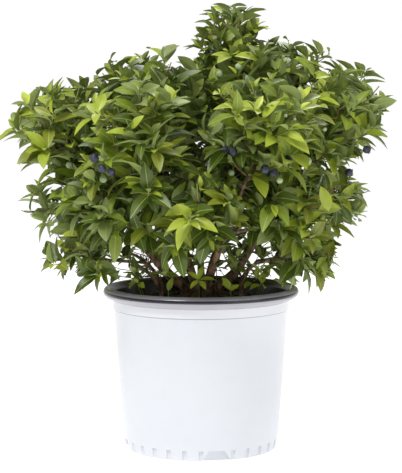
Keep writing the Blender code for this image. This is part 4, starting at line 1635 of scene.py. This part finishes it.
@dataclass
class Undergrowth:
    """The fine twigs and small leaves on the canes' feet, and the suckers that come up through the mix.

    A sucker's spot is its azimuth in degrees, its distance from the axis and its height above the mix.
    """

    plan: BushPlan
    habit: Habit
    heart: Vector = field(default_factory=lambda: Vector((0, 0, 0.31)))
    size: float = 0.16
    seed: int = 77
    face_rise: float = 0.2
    spur_places: tuple[float, ...] = (0.10, 0.18, 0.26, 0.34, 0.42, 0.50, 0.58)
    leader_places: tuple[float, ...] = (
        0.14, 0.20, 0.25, 0.30, 0.34, 0.38, 0.42, 0.46, 0.50, 0.55, 0.60
    )
    spur_lengths: tuple[float, float] = (0.18, 0.48)
    spur_spread: tuple[float, float] = (0.90, 1.35)
    spur_foot_room: float = 0.012
    spur_radii: tuple[float, float] = (0.0010, 0.0005)
    leader_spur_lengths: tuple[float, float] = (0.22, 0.40)
    hung_spurs: int = 3
    hung_leaves: tuple[float, float] = (0.028, 0.042)
    tip_leaves: int = 4
    tip_spread: float = 0.35
    tip_spread_step: float = 0.22
    tip_lengths: tuple[float, float] = (0.018, 0.032)
    mid_share: float = 0.5
    side_places: tuple[float, ...] = (0.75, 0.5)
    side_lengths: tuple[float, float] = (0.018, 0.030)
    sucker_spots: tuple[tuple[float, float, float], ...] = (
        (-92, 0.072, 0.036),
        (-122, 0.080, 0.018),
        (-62, 0.082, 0.020),
        (-30, 0.090, 0.026),
        (-150, 0.092, 0.028),
        (20, 0.085, 0.030),
        (75, 0.080, 0.034),
        (130, 0.086, 0.024),
        (180, 0.080, 0.032),
    )
    sucker_sink: float = 0.003
    sucker_lean: float = 0.3
    sucker_radii: tuple[float, float] = (0.0010, 0.0007)
    star_leaves: int = 7
    star_spread: float = 1.25
    star_lengths: tuple[float, float] = (0.018, 0.026)
    star_kind: int = 2

    def build(self, kinds: int) -> Growth:
        """Grows the spurs and the suckers.

        Args:
            kinds: How many forms of leaf there are.

        Returns:
            What has grown.
        """
        ring = Ring("undergrowth", (0.0,), 0.0, self.heart.z, self.size, 0.0, 0)
        ball = Mass("undergrowth", ring, 0.0, self.heart, UP, self.heart, 0)
        cell = Cell(ball, self.plan, self.habit.cell_rim, self.habit.lip)
        cell.wall_places = np.full(len(cell.wall_places), self.size * 2)
        habit = replace(self.habit, twig_spread=self.spur_spread, foot_room=self.spur_foot_room)
        grower = Grower(cell, habit, self.heart + UP * self.face_rise, self.size, self.seed)
        for n, cane in enumerate(limb for limb in self.plan.limbs if limb.name.startswith("cane")):
            leader = cane.name == "cane_leader"
            places = self.leader_places if leader else self.spur_places
            lengths = self.leader_spur_lengths if leader else self.spur_lengths
            leaf_lengths = self.hung_leaves if leader else self.tip_lengths
            for k, share in enumerate(places):
                place, onward = along(cane.points, share)
                green = k % 2 == 1
                for j in range(self.hung_spurs if leader else 1):
                    turn = (n * 5 + k + j * 2.7) * GOLDEN_TURN
                    for spur in grower.grow_shoot(place, onward, turn, lengths, self.spur_radii, green):
                        self.dress(grower, spur, turn, kinds, leaf_lengths)
        for spot in self.sucker_spots:
            self.grow_sucker(grower, *spot)
        return grower.growth

    def dress(
        self,
        grower: Grower,
        points: Sequence[Vector],
        turn: float,
        kinds: int,
        lengths: tuple[float, float],
    ) -> None:
        """Sets a few small leaves at a spur's tip, and one or two along it.

        Args:
            grower: What grows them.
            points: The spur.
            turn: The angle round it of the first leaf.
            kinds: How many forms of leaf there are.
            lengths: The shortest and longest leaf at its tip.
        """
        chance = grower.chance
        tip, onward = points[-1], (points[-1] - points[-2]).normalized()
        tone = Tone.MID if chance.random() < self.mid_share else Tone.DEEP
        for i in range(self.tip_leaves):
            way = swung(onward, turn + i * GOLDEN_TURN, self.tip_spread + self.tip_spread_step * i)
            grower.grow_leaf(tip, way, onward, chance.uniform(*lengths), chance.randrange(kinds), tone)
        for share in self.side_places:
            place, onward = along(points, share)
            way = (onward * 0.5 + beside(onward, turn - share * 9)).normalized()
            length = chance.uniform(*self.side_lengths)
            grower.grow_leaf(place, way, onward, length, chance.randrange(kinds), tone)

    def grow_sucker(self, grower: Grower, degrees: float, reach: float, height: float) -> None:
        """Grows a sucker up through the mix, with a star of bright leaves at its tip.

        Args:
            grower: What grows it.
            degrees: Its azimuth.
            reach: Its distance from the bush's axis.
            height: Its height above the mix.
        """
        away = outward(math.radians(degrees))
        foot = away * reach + UP * (self.plan.soil_top - self.sucker_sink)
        tip = foot + UP * (height + self.sucker_sink) + away * height * self.sucker_lean
        points = bezier(foot, foot.lerp(tip, 0.4), tip - UP * height * 0.3, tip, 4)
        grower.growth.shoots.append(Shoot(points, taper(*self.sucker_radii, len(points)), True))
        onward = (UP * 0.5 + away * 0.8).normalized()
        for i in range(self.star_leaves):
            way = swung(onward, i * 2 * math.pi / self.star_leaves, self.star_spread)
            tone = Tone.LIME if i % 3 == 0 else Tone.FRESH
            length = grower.chance.uniform(*self.star_lengths)
            grower.grow_leaf(tip, way, onward, length, self.star_kind, tone)


@dataclass
class Foliage:
    """All leaves, twigs and berries of the bush, a few pieces a ring."""

    plan: BushPlan
    finishes: Finishes
    eye: Vector
    habit: Habit = field(default_factory=Habit)
    leaf_forms: tuple[LeafForm, ...] = (
        LeafForm(0.40, 0.66, 0.04, 0.010),
        LeafForm(0.42, 0.50, 0.10, 0.020),
        LeafForm(0.46, 0.30, 0.12, 0.030, broadest=0.50),
        LeafForm(0.40, 0.40, 0.22, 0.015),
        LeafForm(0.44, 0.56, 0.08, 0.020, broadest=0.52),
    )
    sites: tuple[BerrySite, ...] = tuple(
        BerrySite(x, z, (fruit,) * count)
        for x, z, fruit, count in (
            (-0.156, 0.414, Fruit.RIPE, 1),
            (-0.128, 0.394, Fruit.RIPE, 2),
            (0.045, 0.423, Fruit.RIPE, 2),
            (0.104, 0.393, Fruit.RIPE, 2),
            (0.126, 0.414, Fruit.RIPE, 1),
            (0.240, 0.420, Fruit.RIPE, 1),
            (0.241, 0.353, Fruit.RIPE, 1),
            (-0.187, 0.404, Fruit.GREEN, 1),
            (-0.139, 0.384, Fruit.GREEN, 1),
            (-0.072, 0.393, Fruit.GREEN, 1),
            (-0.039, 0.465, Fruit.GREEN, 1),
            (0.043, 0.393, Fruit.GREEN, 1),
            (0.112, 0.382, Fruit.GREEN, 1),
            (0.156, 0.404, Fruit.GREEN, 1),
            (0.026, 0.533, Fruit.GREEN, 1),
            (0.053, 0.543, Fruit.GREEN, 1),
            (0.176, 0.455, Fruit.BUD, 2),
            (0.133, 0.469, Fruit.BUD, 2),
        )
    )
    twig_sides: int = 5

    def tube(self, swarm: Swarm, shoot: Shoot) -> None:
        """Adds a shoot to a swarm as a tapering tube.

        Args:
            swarm: The swarm. Its first finish is bark and its second is green.
            shoot: The shoot.
        """
        sides = self.twig_sides
        corners = [
            point + away * radius
            for point, radius, ring in zip(shoot.points, shoot.radii, sweep(shoot.points, sides))
            for away in ring
        ]
        last = len(corners) - sides
        faces: list[tuple[int, ...]] = []
        for first in range(0, last, sides):
            for k in range(sides):
                a, b = first + k, first + (k + 1) % sides
                faces.append((a, b, b + sides, a + sides))
        faces.append(tuple(reversed(range(sides))))
        faces.append(tuple(range(last, last + sides)))
        finish = 1 if shoot.green else 0
        swarm.add_mesh(np.array(corners), faces, [finish] * len(faces), np.zeros(len(corners), bool))

    def sites_of(self, mass: Mass) -> list[BerrySite]:
        """The sites that are nearest to a mass.

        Args:
            mass: The mass.

        Returns:
            Those of the sites that no other mass at the front is nearer to.
        """
        fronts = [other for other in self.plan.masses if other.centre.y < -0.02]

        def miss(site: BerrySite, other: Mass) -> float:
            """How far a mass is from a site, in its own radii, with the nearer masses preferred."""
            return site.miss(other.centre, self.eye) / other.size + other.centre.y * 4

        return [site for site in self.sites if min(fronts, key=lambda other: miss(site, other)) is mass]

    def join(self, name: str, growths: Sequence[Growth], nodes: Sequence[str]) -> list[bpy.types.Object]:
        """Joins what has grown, each kind apart.

        Args:
            name: What the pieces' names end in.
            growths: What has grown.
            nodes: The nodes that the pieces stand for.

        Returns:
            The pieces.
        """
        finishes = self.finishes
        under, rib = finishes.underside, finishes.midrib
        forms = [form.make() for form in self.leaf_forms]
        berry = BerryForm().make()
        leaves = Swarm(f"leaves_{name}", finishes.leaves)
        twigs = Swarm(f"twigs_{name}", [finishes.twig, finishes.shoot])
        berries = Swarm(f"berries_{name}", finishes.berries)
        for growth in growths:
            for leaf in growth.leaves:
                leaves.add(forms[leaf.kind], leaf.matrix, leaf.place, (leaf.tone.value, rib, under, rib))
            for shoot in growth.shoots:
                self.tube(twigs, shoot)
            for fruit in growth.berries:
                crown = 2 if fruit.fruit is Fruit.RIPE else fruit.fruit.value
                berries.add(berry, fruit.matrix, fruit.place, (fruit.fruit.value, crown))
        made = []
        for swarm in (leaves, twigs, berries):
            piece = swarm.finish()
            if piece is None:
                continue
            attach(piece, "root")
            if nodes:
                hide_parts(*nodes)
            report(piece)
            made.append(piece)
        return made

    def build(self) -> list[bpy.types.Object]:
        """Grows the foliage and joins it ring by ring.

        Returns:
            The pieces.
        """
        habit = self.habit
        kinds = len(self.leaf_forms)
        made = []
        for ring in self.plan.rings:
            masses = self.plan.of_ring(ring.name)
            growths = []
            for mass in masses:
                cell = Cell(mass, self.plan, habit.cell_rim, habit.lip)
                grower = Grower(cell, habit, mass.centre, mass.size, mass.seed)
                growths.append(grower.grow_mass(mass, kinds, self.sites_of(mass), self.eye))
            made += self.join(ring.name, growths, [mass.name for mass in masses])
        made += self.join("undergrowth", [Undergrowth(self.plan, habit).build(kinds)], [])
        return made


@dataclass
class Wood:
    """The canes, boughs and root crown, with the relief of their bark."""

    plan: BushPlan
    finishes: Finishes
    sides: int = 12
    step: float = 0.004
    ridge: float = 0.10
    grain_scale: float = 330
    grain_stretch: float = 0.3
    lump_scale: float = 90
    knot: float = 0.16
    knot_pitch: float = 0.023
    knot_power: int = 8
    foot_swell: float = 0.35
    foot_run: float = 0.006
    crown_top: float = 0.234
    crown_foot_radius: float = 0.047
    crown_neck_radius: float = 0.029
    crown_dome: float = 0.25
    crown_sink: float = 0.003
    crown_rows: int = 14
    crown_steps: int = 72
    crown_lobes: int = 5
    crown_lobe_depth: float = 0.14
    crown_flare_power: float = 2.2
    crown_lumps: tuple[tuple[float, float], ...] = ((90, 0.14), (260, 0.08))
    crown_lift: float = 0.022
    crown_level: float = 0.12

    def relief(self, place: Vector, run: float, seed: float) -> float:
        """How the bark stands out here.

        Args:
            place: A point of the smooth surface.
            run: How far along the limb it is.
            seed: A number of the limb's own.

        Returns:
            The factor on the radius.
        """
        drawn = Vector((place.x, place.y, place.z * self.grain_stretch))
        fine = noise.noise(drawn * self.grain_scale + Vector((seed, 0, 0)))
        coarse = noise.noise(place * self.lump_scale + Vector((0, seed, 0)))
        knot = max(0.0, math.cos(2 * math.pi * run / self.knot_pitch)) ** self.knot_power
        return 1 + self.ridge * (fine + coarse) + self.knot * knot * (0.5 + coarse)

    def limb(self, limb: Limb, seed: float) -> bpy.types.Object:
        """Builds a cane or bough by extruding a ring along it.

        Args:
            limb: The limb.
            seed: A number of its own.

        Returns:
            The piece.
        """
        points = smoothed(limb.lead + limb.points, self.step)
        lead = sum((b - a).length for a, b in zip(limb.lead, limb.lead[1:] + limb.points[:1]))
        runs = [0.0]
        for a, b in zip(points, points[1:]):
            runs.append(runs[-1] + (b - a).length)
        whole = runs[-1] - lead
        foot, tip = limb.radii[0], limb.radii[-1]
        form = bmesh.new()
        made = bmesh.ops.create_circle(form, cap_ends=True, segments=self.sides, radius=1)
        ring = made["verts"]
        cap = list(form.faces)
        for i, (point, run, aways) in enumerate(zip(points, runs, sweep(points, self.sides))):
            share = min(1.0, max(0.0, (run - lead) / whole))
            swell = 1.0
            if lead > self.foot_run:
                swell += self.foot_swell * max(0.0, 1 - run / (lead + self.foot_run))
            radius = (tip + (foot - tip) * (1 - share) ** TAPER_POWER) * swell
            if i:
                grown = bmesh.ops.extrude_face_region(form, geom=cap)
                bmesh.ops.delete(form, geom=cap, context="FACES_ONLY")
                cap = [item for item in grown["geom"] if isinstance(item, bmesh.types.BMFace)]
                ring = list(cap[0].verts)
            for away, vert in zip(aways, ring):
                vert.co = point + away * radius * self.relief(point + away * radius, run, seed)
        bmesh.ops.holes_fill(form, edges=[edge for edge in form.edges if edge.is_boundary])
        Workshop.smooth(form)
        piece = Workshop.piece(f"{limb.name}_bark", form, [self.finishes.bark])
        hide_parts(limb.name)
        return piece

    def crown(self) -> bpy.types.Object:
        """Builds the root crown by turning its outline, then lobing and roughening it.

        Returns:
            The piece.
        """
        foot = self.plan.soil_top - self.crown_sink
        tall = self.crown_top - foot
        flare_reach = self.crown_foot_radius - self.crown_neck_radius
        outline = []
        for i in range(self.crown_rows + 1):
            share = i / self.crown_rows
            radius = self.crown_neck_radius * math.sin(min(1.0, share / self.crown_dome) * math.pi / 2)
            if share > self.crown_dome:
                beyond = (share - self.crown_dome) / (1 - self.crown_dome)
                radius += flare_reach * beyond ** self.crown_flare_power
            outline.append((radius, self.crown_top - tall * share))
        outline.append((0, foot))
        form = Workshop.turned(outline, self.crown_steps, MERGE)
        for vert in form.verts:
            flare = (self.crown_top - vert.co.z) / tall
            azimuth = math.atan2(vert.co.y, vert.co.x)
            swell = 1 + self.crown_lobe_depth * flare * math.cos(self.crown_lobes * azimuth)
            rough = lumps(vert.co, self.crown_lumps)
            vert.co.x *= swell * (1 + rough)
            vert.co.y *= swell * (1 + rough)
            vert.co.z += (rough - self.crown_level) * self.crown_lift * (1 - flare)
        Workshop.smooth(form)
        piece = Workshop.piece("root_crown_bark", form, [self.finishes.root_bark])
        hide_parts("root_crown")
        return piece

    def build(self) -> list[bpy.types.Object]:
        """Builds every limb and the root crown.

        Returns:
            The pieces.
        """
        made = [self.crown()]
        for i, limb in enumerate(self.plan.limbs):
            made.append(self.limb(limb, i * 7.3))
        for piece in made:
            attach(piece, "root")
            report(piece)
        return made


@dataclass
class Pot:
    """The round tapered pot with its rolled lip, flutes, notches and drain holes."""

    finishes: Finishes
    height: float = 0.231
    lip_radius: float = 0.140
    lip_crest_radius: float = 0.1325
    lip_drop: float = 0.015
    neck_radius: float = 0.1262
    neck_top: float = 0.2130
    neck_foot: float = 0.199
    step_height: float = 0.0016
    wall_top_radius: float = 0.1248
    wall_foot_radius: float = 0.1112
    wall_foot: float = 0.018
    heel_radius: float = 0.1097
    heel_height: float = 0.0070
    foot_radius: float = 0.1075
    wall: float = 0.0022
    floor: float = 0.0030
    foot_band: float = 0.0100
    band_top: float = 0.0165
    band_slope_top: float = 0.0260
    steps: int = 240
    flutes: int = 30
    flute_radius: float = 0.0042
    flute_taper: float = 0.75
    flute_depth: float = 0.0014
    flute_height: float = 0.0135
    notches: int = 4
    notch_azimuth: float = math.radians(-78.5)
    notch_height: float = 0.0148
    notch_depth: float = 0.0062
    notch_widths: tuple[float, float] = (0.042, 0.022)
    drain_holes: int = 6
    drain_radius: float = 0.0060
    drain_circle: float = 0.070
    notch_length: float = 0.03
    cut_spare: float = 0.002
    merge: float = 0.00003
    crease: float = math.radians(32)
    lip_steps: int = 16
    # How far down the lip's outer roll the painted highlight reaches, as a share of its drop.
    highlight_share: float = 0.30
    black_share: float = 0.56

    def wall_radius(self, height: float) -> float:
        """Outer radius of the straight wall at this height."""
        share = (height - self.wall_foot) / (self.neck_foot - self.wall_foot)
        return self.wall_foot_radius + (self.wall_top_radius - self.wall_foot_radius) * share

    def profile(self) -> list[tuple[float, float]]:
        """The outline from the top of the lip down the outside, and back up the inside.

        Returns:
            Points as radius and height.
        """
        lip = []
        for i in range(self.lip_steps + 1):
            angle = math.pi * i / self.lip_steps
            reach = self.lip_crest_radius + (self.lip_radius - self.lip_crest_radius) * math.sin(angle)
            lip.append((reach, self.height - self.lip_drop / 2 * (1 - math.cos(angle))))
        outside = lip + [
            (self.neck_radius + 0.0010, self.neck_top + 0.0006),
            (self.neck_radius, self.neck_top - 0.0004),
            (self.neck_radius, self.neck_foot + self.step_height + 0.0005),
            (self.neck_radius - 0.0004, self.neck_foot + self.step_height),
            (self.wall_top_radius, self.neck_foot),
            (self.wall_radius(0.14), 0.14),
            (self.wall_radius(0.08), 0.08),
            (self.wall_foot_radius, self.wall_foot),
            (self.wall_foot_radius - 0.0004, self.wall_foot - 0.0010),
            (self.heel_radius, self.heel_height),
            (self.foot_radius + 0.0006, 0.0010),
            (self.foot_radius, 0.0),
            (0.0, 0.0),
        ]
        band = self.foot_radius - self.foot_band
        inside = [
            (0.0, self.floor),
            (band, self.floor),
            (band, self.band_top),
            (self.wall_radius(self.band_slope_top) - self.wall, self.band_slope_top),
            (self.wall_radius(self.neck_foot) - self.wall, self.neck_foot),
            (self.neck_radius - self.wall, self.neck_foot + self.step_height * 2),
            (self.neck_radius - self.wall, self.height - self.lip_drop / 2 - 0.002),
            (self.neck_radius - self.wall + 0.0010, self.height - self.lip_drop / 2 + 0.001),
            (self.lip_crest_radius - self.wall, self.height - 0.0012),
            (self.lip_crest_radius - self.wall * 0.4, self.height - 0.0002),
        ]
        return outside + inside

    def cutter(self, name: str, shaping: Callable[[bmesh.types.BMesh], None]) -> bpy.types.Object:
        """Builds a body that is cut out of the pot.

        Args:
            name: Its name.
            shaping: Builds it in an empty bmesh.

        Returns:
            The body's object.
        """
        form = bmesh.new()
        shaping(form)
        return Workshop.piece(name, form, self.finishes.plastic)

    def stand_cone(
        self, form: bmesh.types.BMesh, place: Vector, radii: tuple[float, float], height: float, sides: int
    ) -> None:
        """Stands a cone on the underside.

        Args:
            form: The bmesh that it is added to.
            place: Where it stands.
            radii: Its radius at foot and top.
            height: How high it reaches, but for a spare bit at both ends.
            sides: How many sides it has.
        """
        made = bmesh.ops.create_cone(
            form,
            cap_ends=True,
            segments=sides,
            radius1=radii[0],
            radius2=radii[1],
            depth=height + self.cut_spare,
        )
        raised = Matrix.Translation(place + UP * height / 2)
        bmesh.ops.transform(form, matrix=raised, verts=made["verts"])

    def shape_flutes(self, form: bmesh.types.BMesh) -> None:
        """Builds the upright grooves round the foot."""
        reach = self.foot_radius + self.flute_radius - self.flute_depth
        radii = (self.flute_radius, self.flute_radius * self.flute_taper)
        for i in range(self.flutes):
            place = outward(2 * math.pi * (i + 0.5) / self.flutes) * reach
            self.stand_cone(form, place, radii, self.flute_height, 20)

    def shape_notches(self, form: bmesh.types.BMesh) -> None:
        """Builds the drainage notches in the foot."""
        away = Matrix.Translation((self.foot_radius - self.notch_depth + self.notch_length / 2, 0, 0))
        for i in range(self.notches):
            made = bmesh.ops.create_cube(form, size=1)
            for vert in made["verts"]:
                high = vert.co.z > 0
                vert.co.x *= self.notch_length
                vert.co.y *= self.notch_widths[1 if high else 0]
                vert.co.z = self.notch_height if high else -self.cut_spare / 2
            turn = Matrix.Rotation(self.notch_azimuth + 2 * math.pi * i / self.notches, 4, "Z")
            bmesh.ops.transform(form, matrix=turn @ away, verts=made["verts"])

    def shape_drains(self, form: bmesh.types.BMesh) -> None:
        """Builds the round holes through the floor."""
        for i in range(self.drain_holes):
            place = outward(self.notch_azimuth + 2 * math.pi * i / self.drain_holes) * self.drain_circle
            self.stand_cone(form, place, (self.drain_radius, self.drain_radius), self.floor, 32)

    def build(self) -> bpy.types.Object:
        """Turns the pot, cuts it and colours its lining.

        Returns:
            The piece.
        """
        form = Workshop.turned(self.profile(), self.steps, self.merge, closed=True)
        bmesh.ops.recalc_face_normals(form, faces=form.faces)
        pot = Workshop.piece("pot_shell", form, self.finishes.plastic)
        tools = [
            self.cutter("flutes", self.shape_flutes),
            self.cutter("notches", self.shape_notches),
            self.cutter("drains", self.shape_drains),
        ]
        for tool in tools:
            boolean = pot.modifiers.new(tool.name, "BOOLEAN")
            boolean.operation = "DIFFERENCE"
            boolean.object = tool
        graph = bpy.context.evaluated_depsgraph_get()
        mesh = bpy.data.meshes.new_from_object(pot.evaluated_get(graph))
        pot.modifiers.clear()
        pot.data = mesh
        for tool in tools:
            bpy.data.objects.remove(tool)
        self.colour(mesh)
        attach(pot, "root")
        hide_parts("pot")
        report(pot)
        return pot

    def skin_of(self, face: bmesh.types.BMFace) -> Skin:
        """Which plastic, or which painted highlight, shade or light, a face of the pot shows."""
        middle = face.calc_center_median()
        inward = face.normal.x * middle.x + face.normal.y * middle.y < 0
        if inward and middle.z > self.wall_foot:
            return Skin.BLACK
        if middle.z > self.neck_top:
            down = (self.height - middle.z) / self.lip_drop
            # The top of the roll's outside is painted light grey as a highlight.
            if down < self.highlight_share and math.hypot(middle.x, middle.y) > self.lip_crest_radius:
                return Skin.SCUFFED
            # Below the black, the lower half of the roll is painted grey as shade.
            return Skin.BLACK if down < self.black_share else Skin.GREY
        # The neck, shaded by the lip, gets a lighter white: painted light.
        if middle.z > self.neck_foot + self.step_height:
            return Skin.NECK
        # The step below the neck is painted grey as a line of shade.
        return Skin.GREY if middle.z > self.neck_foot else Skin.WHITE

    def colour(self, mesh: bpy.types.Mesh) -> None:
        """Gives each face its plastic: black inside; down the lip, a painted highlight, black and painted
        shade; painted light on the neck.

        Args:
            mesh: The pot's mesh.
        """
        form = bmesh.new()
        form.from_mesh(mesh)
        for face in form.faces:
            face.material_index = self.skin_of(face).value
        Workshop.sharpen(form, self.crease)
        form.to_mesh(mesh)
        form.free()


@dataclass
class PottingMix:
    """The heaped potting mix and the bark chips that lie on it."""

    finishes: Finishes
    top: float = 0.2125
    edge: float = 0.2065
    flat_radius: float = 0.070
    radius: float = 0.1234
    foot_radius: float = 0.0968
    foot: float = 0.0033
    rows: int = 40
    chips: int = 900
    seed: int = 5
    chip_lengths: tuple[float, float] = (0.004, 0.011)
    chip_widths: tuple[float, float] = (0.003, 0.006)
    chip_heights: tuple[float, float] = (0.0015, 0.003)
    chip_rise: float = 0.0018
    chip_room: float = 0.006
    chip_tilt: float = 0.5
    steps: int = 120
    rim: float = 0.001
    slope_power: float = 1.3
    crumbs: tuple[tuple[float, float], ...] = ((140, 0.0030), (420, 0.0018))

    def height(self, reach: float) -> float:
        """Height of the smooth heap at this distance from the middle."""
        share = max(0.0, (reach - self.flat_radius) / (self.radius - self.flat_radius))
        return self.top - (self.top - self.edge) * share ** self.slope_power

    def build(self) -> list[bpy.types.Object]:
        """Builds the mix and its chips.

        Returns:
            The pieces.
        """
        reaches = [self.radius * i / self.rows for i in range(self.rows + 1)]
        outline = [(reach, self.height(reach)) for reach in reaches]
        outline += [(self.foot_radius, self.foot), (0, self.foot)]
        form = Workshop.turned(outline, self.steps, MERGE)
        for vert in form.verts:
            reach = math.hypot(vert.co.x, vert.co.y)
            if vert.co.z > self.edge - self.rim and reach < self.radius - self.rim:
                vert.co.z += lumps(vert.co, self.crumbs)
        Workshop.smooth(form)
        bed = Workshop.piece("potting_mix_bed", form, [self.finishes.mix])
        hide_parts("potting_mix")
        chips = self.scatter()
        for piece in (bed, chips):
            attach(piece, "root")
            report(piece)
        return [bed, chips]

    def scatter(self) -> bpy.types.Object:
        """Scatters the bark chips over the mix.

        Returns:
            The piece.
        """
        chip_form = bmesh.new()
        bmesh.ops.create_icosphere(chip_form, subdivisions=1, radius=0.5)
        chip = SmallForm.from_bmesh(chip_form)
        swarm = Swarm("bark_chips_on_mix", [self.finishes.chips, self.finishes.mix])
        chance = random.Random(self.seed)
        spans = (self.chip_lengths, self.chip_widths, self.chip_heights)
        for _ in range(self.chips):
            reach = (self.radius - self.chip_room) * math.sqrt(chance.random())
            place = outward(chance.uniform(0, 2 * math.pi)) * reach
            place.z = self.height(reach) + chance.uniform(0.0, self.chip_rise)
            turn = Matrix.Rotation(chance.uniform(0, 2 * math.pi), 3, "Z")
            turn = turn @ Matrix.Rotation(chance.uniform(-self.chip_tilt, self.chip_tilt), 3, "X")
            size = Matrix.Diagonal([chance.uniform(*span) for span in spans])
            swarm.add(chip, np.array(turn @ size), np.array(place), (chance.randrange(2),))
        return swarm.finish()


@dataclass
class Studio:
    """The pale floor, the soft lights and the camera."""

    floor_reach: float = 30.0
    floor_shade: float = 0.60
    floor_glow: float = 0.80
    camera_place: tuple[float, float, float] = (0.0, -2.285, 0.503)
    pitch: float = math.radians(5.03)
    lens: float = 122.2
    world_strength: float = 0.36
    aim: tuple[float, float, float] = (0, 0, 0.35)
    lights: tuple[tuple[str, tuple[float, float, float], float, float], ...] = (
        ("key_light", (-1.1, -1.5, 2.5), 1.1, 52.0),
        ("fill_light", (1.7, -1.3, 1.4), 1.8, 11.0),
        ("rear_light", (0.5, 1.8, 2.1), 1.4, 26.0),
    )

    def build(self) -> None:
        """Sets up the studio."""
        self.lay_floor()
        self.light_world()
        for light in self.lights:
            self.hang_light(*light)
        self.place_camera()
        bpy.context.scene.view_settings.view_transform = "Standard"

    def lay_floor(self) -> None:
        """Lays a plain floor that glows a little, so that it meets the backdrop without a line."""
        nodes = Nodes("studio_floor")
        nodes.set(Base_Color=(*[self.floor_shade] * 3, 1), Roughness=0.9, Specular_IOR_Level=0.0)
        nodes.set(Emission_Color=(1, 1, 1, 1), Emission_Strength=self.floor_glow)
        form = bmesh.new()
        bmesh.ops.create_circle(form, cap_ends=True, segments=64, radius=self.floor_reach)
        floor = Workshop.piece("studio_floor", form, [nodes.material])

    def light_world(self) -> None:
        """Lights the scene evenly and softly, before a white backdrop."""
        world = bpy.data.worlds.new("studio_world")
        bpy.context.scene.world = world
        world.use_nodes = True
        tree = world.node_tree
        soft = tree.nodes["Background"]
        soft.inputs["Color"].default_value = (1, 1, 1, 1)
        soft.inputs["Strength"].default_value = self.world_strength
        white = tree.nodes.new("ShaderNodeBackground")
        white.inputs["Strength"].default_value = self.floor_shade * self.world_strength + self.floor_glow
        white.inputs["Color"].default_value = (1, 1, 1, 1)
        seen = tree.nodes.new("ShaderNodeLightPath")
        mixed = tree.nodes.new("ShaderNodeMixShader")
        tree.links.new(seen.outputs["Is Camera Ray"], mixed.inputs[0])
        tree.links.new(soft.outputs[0], mixed.inputs[1])
        tree.links.new(white.outputs[0], mixed.inputs[2])
        tree.links.new(mixed.outputs[0], tree.nodes["World Output"].inputs["Surface"])

    def hang_light(self, name: str, place: tuple[float, float, float], size: float, power: float) -> None:
        """Hangs a square soft light that looks at the bush.

        Args:
            name: The light's name.
            place: Where it hangs.
            size: Its side.
            power: Its power in watts.
        """
        light = bpy.data.lights.new(name, "AREA")
        light.energy = power
        light.size = size
        holder = bpy.data.objects.new(name, light)
        holder.location = place
        look = Vector(self.aim) - Vector(place)
        holder.rotation_euler = look.to_track_quat("-Z", "Y").to_euler()
        bpy.context.scene.collection.objects.link(holder)

    def place_camera(self) -> None:
        """Places the camera at the photograph's viewing angle."""
        camera = bpy.data.cameras.new("camera")
        camera.lens = self.lens
        holder = bpy.data.objects.new("camera", camera)
        holder.location = self.camera_place
        holder.rotation_euler = (math.pi / 2 - self.pitch, 0, 0)
        bpy.context.scene.collection.objects.link(holder)
        bpy.context.scene.camera = holder


def main() -> None:
    """Builds the pot, the wood, the foliage and the studio."""
    logging.basicConfig(level=logging.INFO, format="%(message)s")
    finishes = Finishes()
    plan = BushPlan()
    studio = Studio()
    studio.build()
    Pot(finishes).build()
    PottingMix(finishes).build()
    Wood(plan, finishes).build()
    Foliage(plan, finishes, Vector(studio.camera_place)).build()


if __name__ == "__main__":
    main()
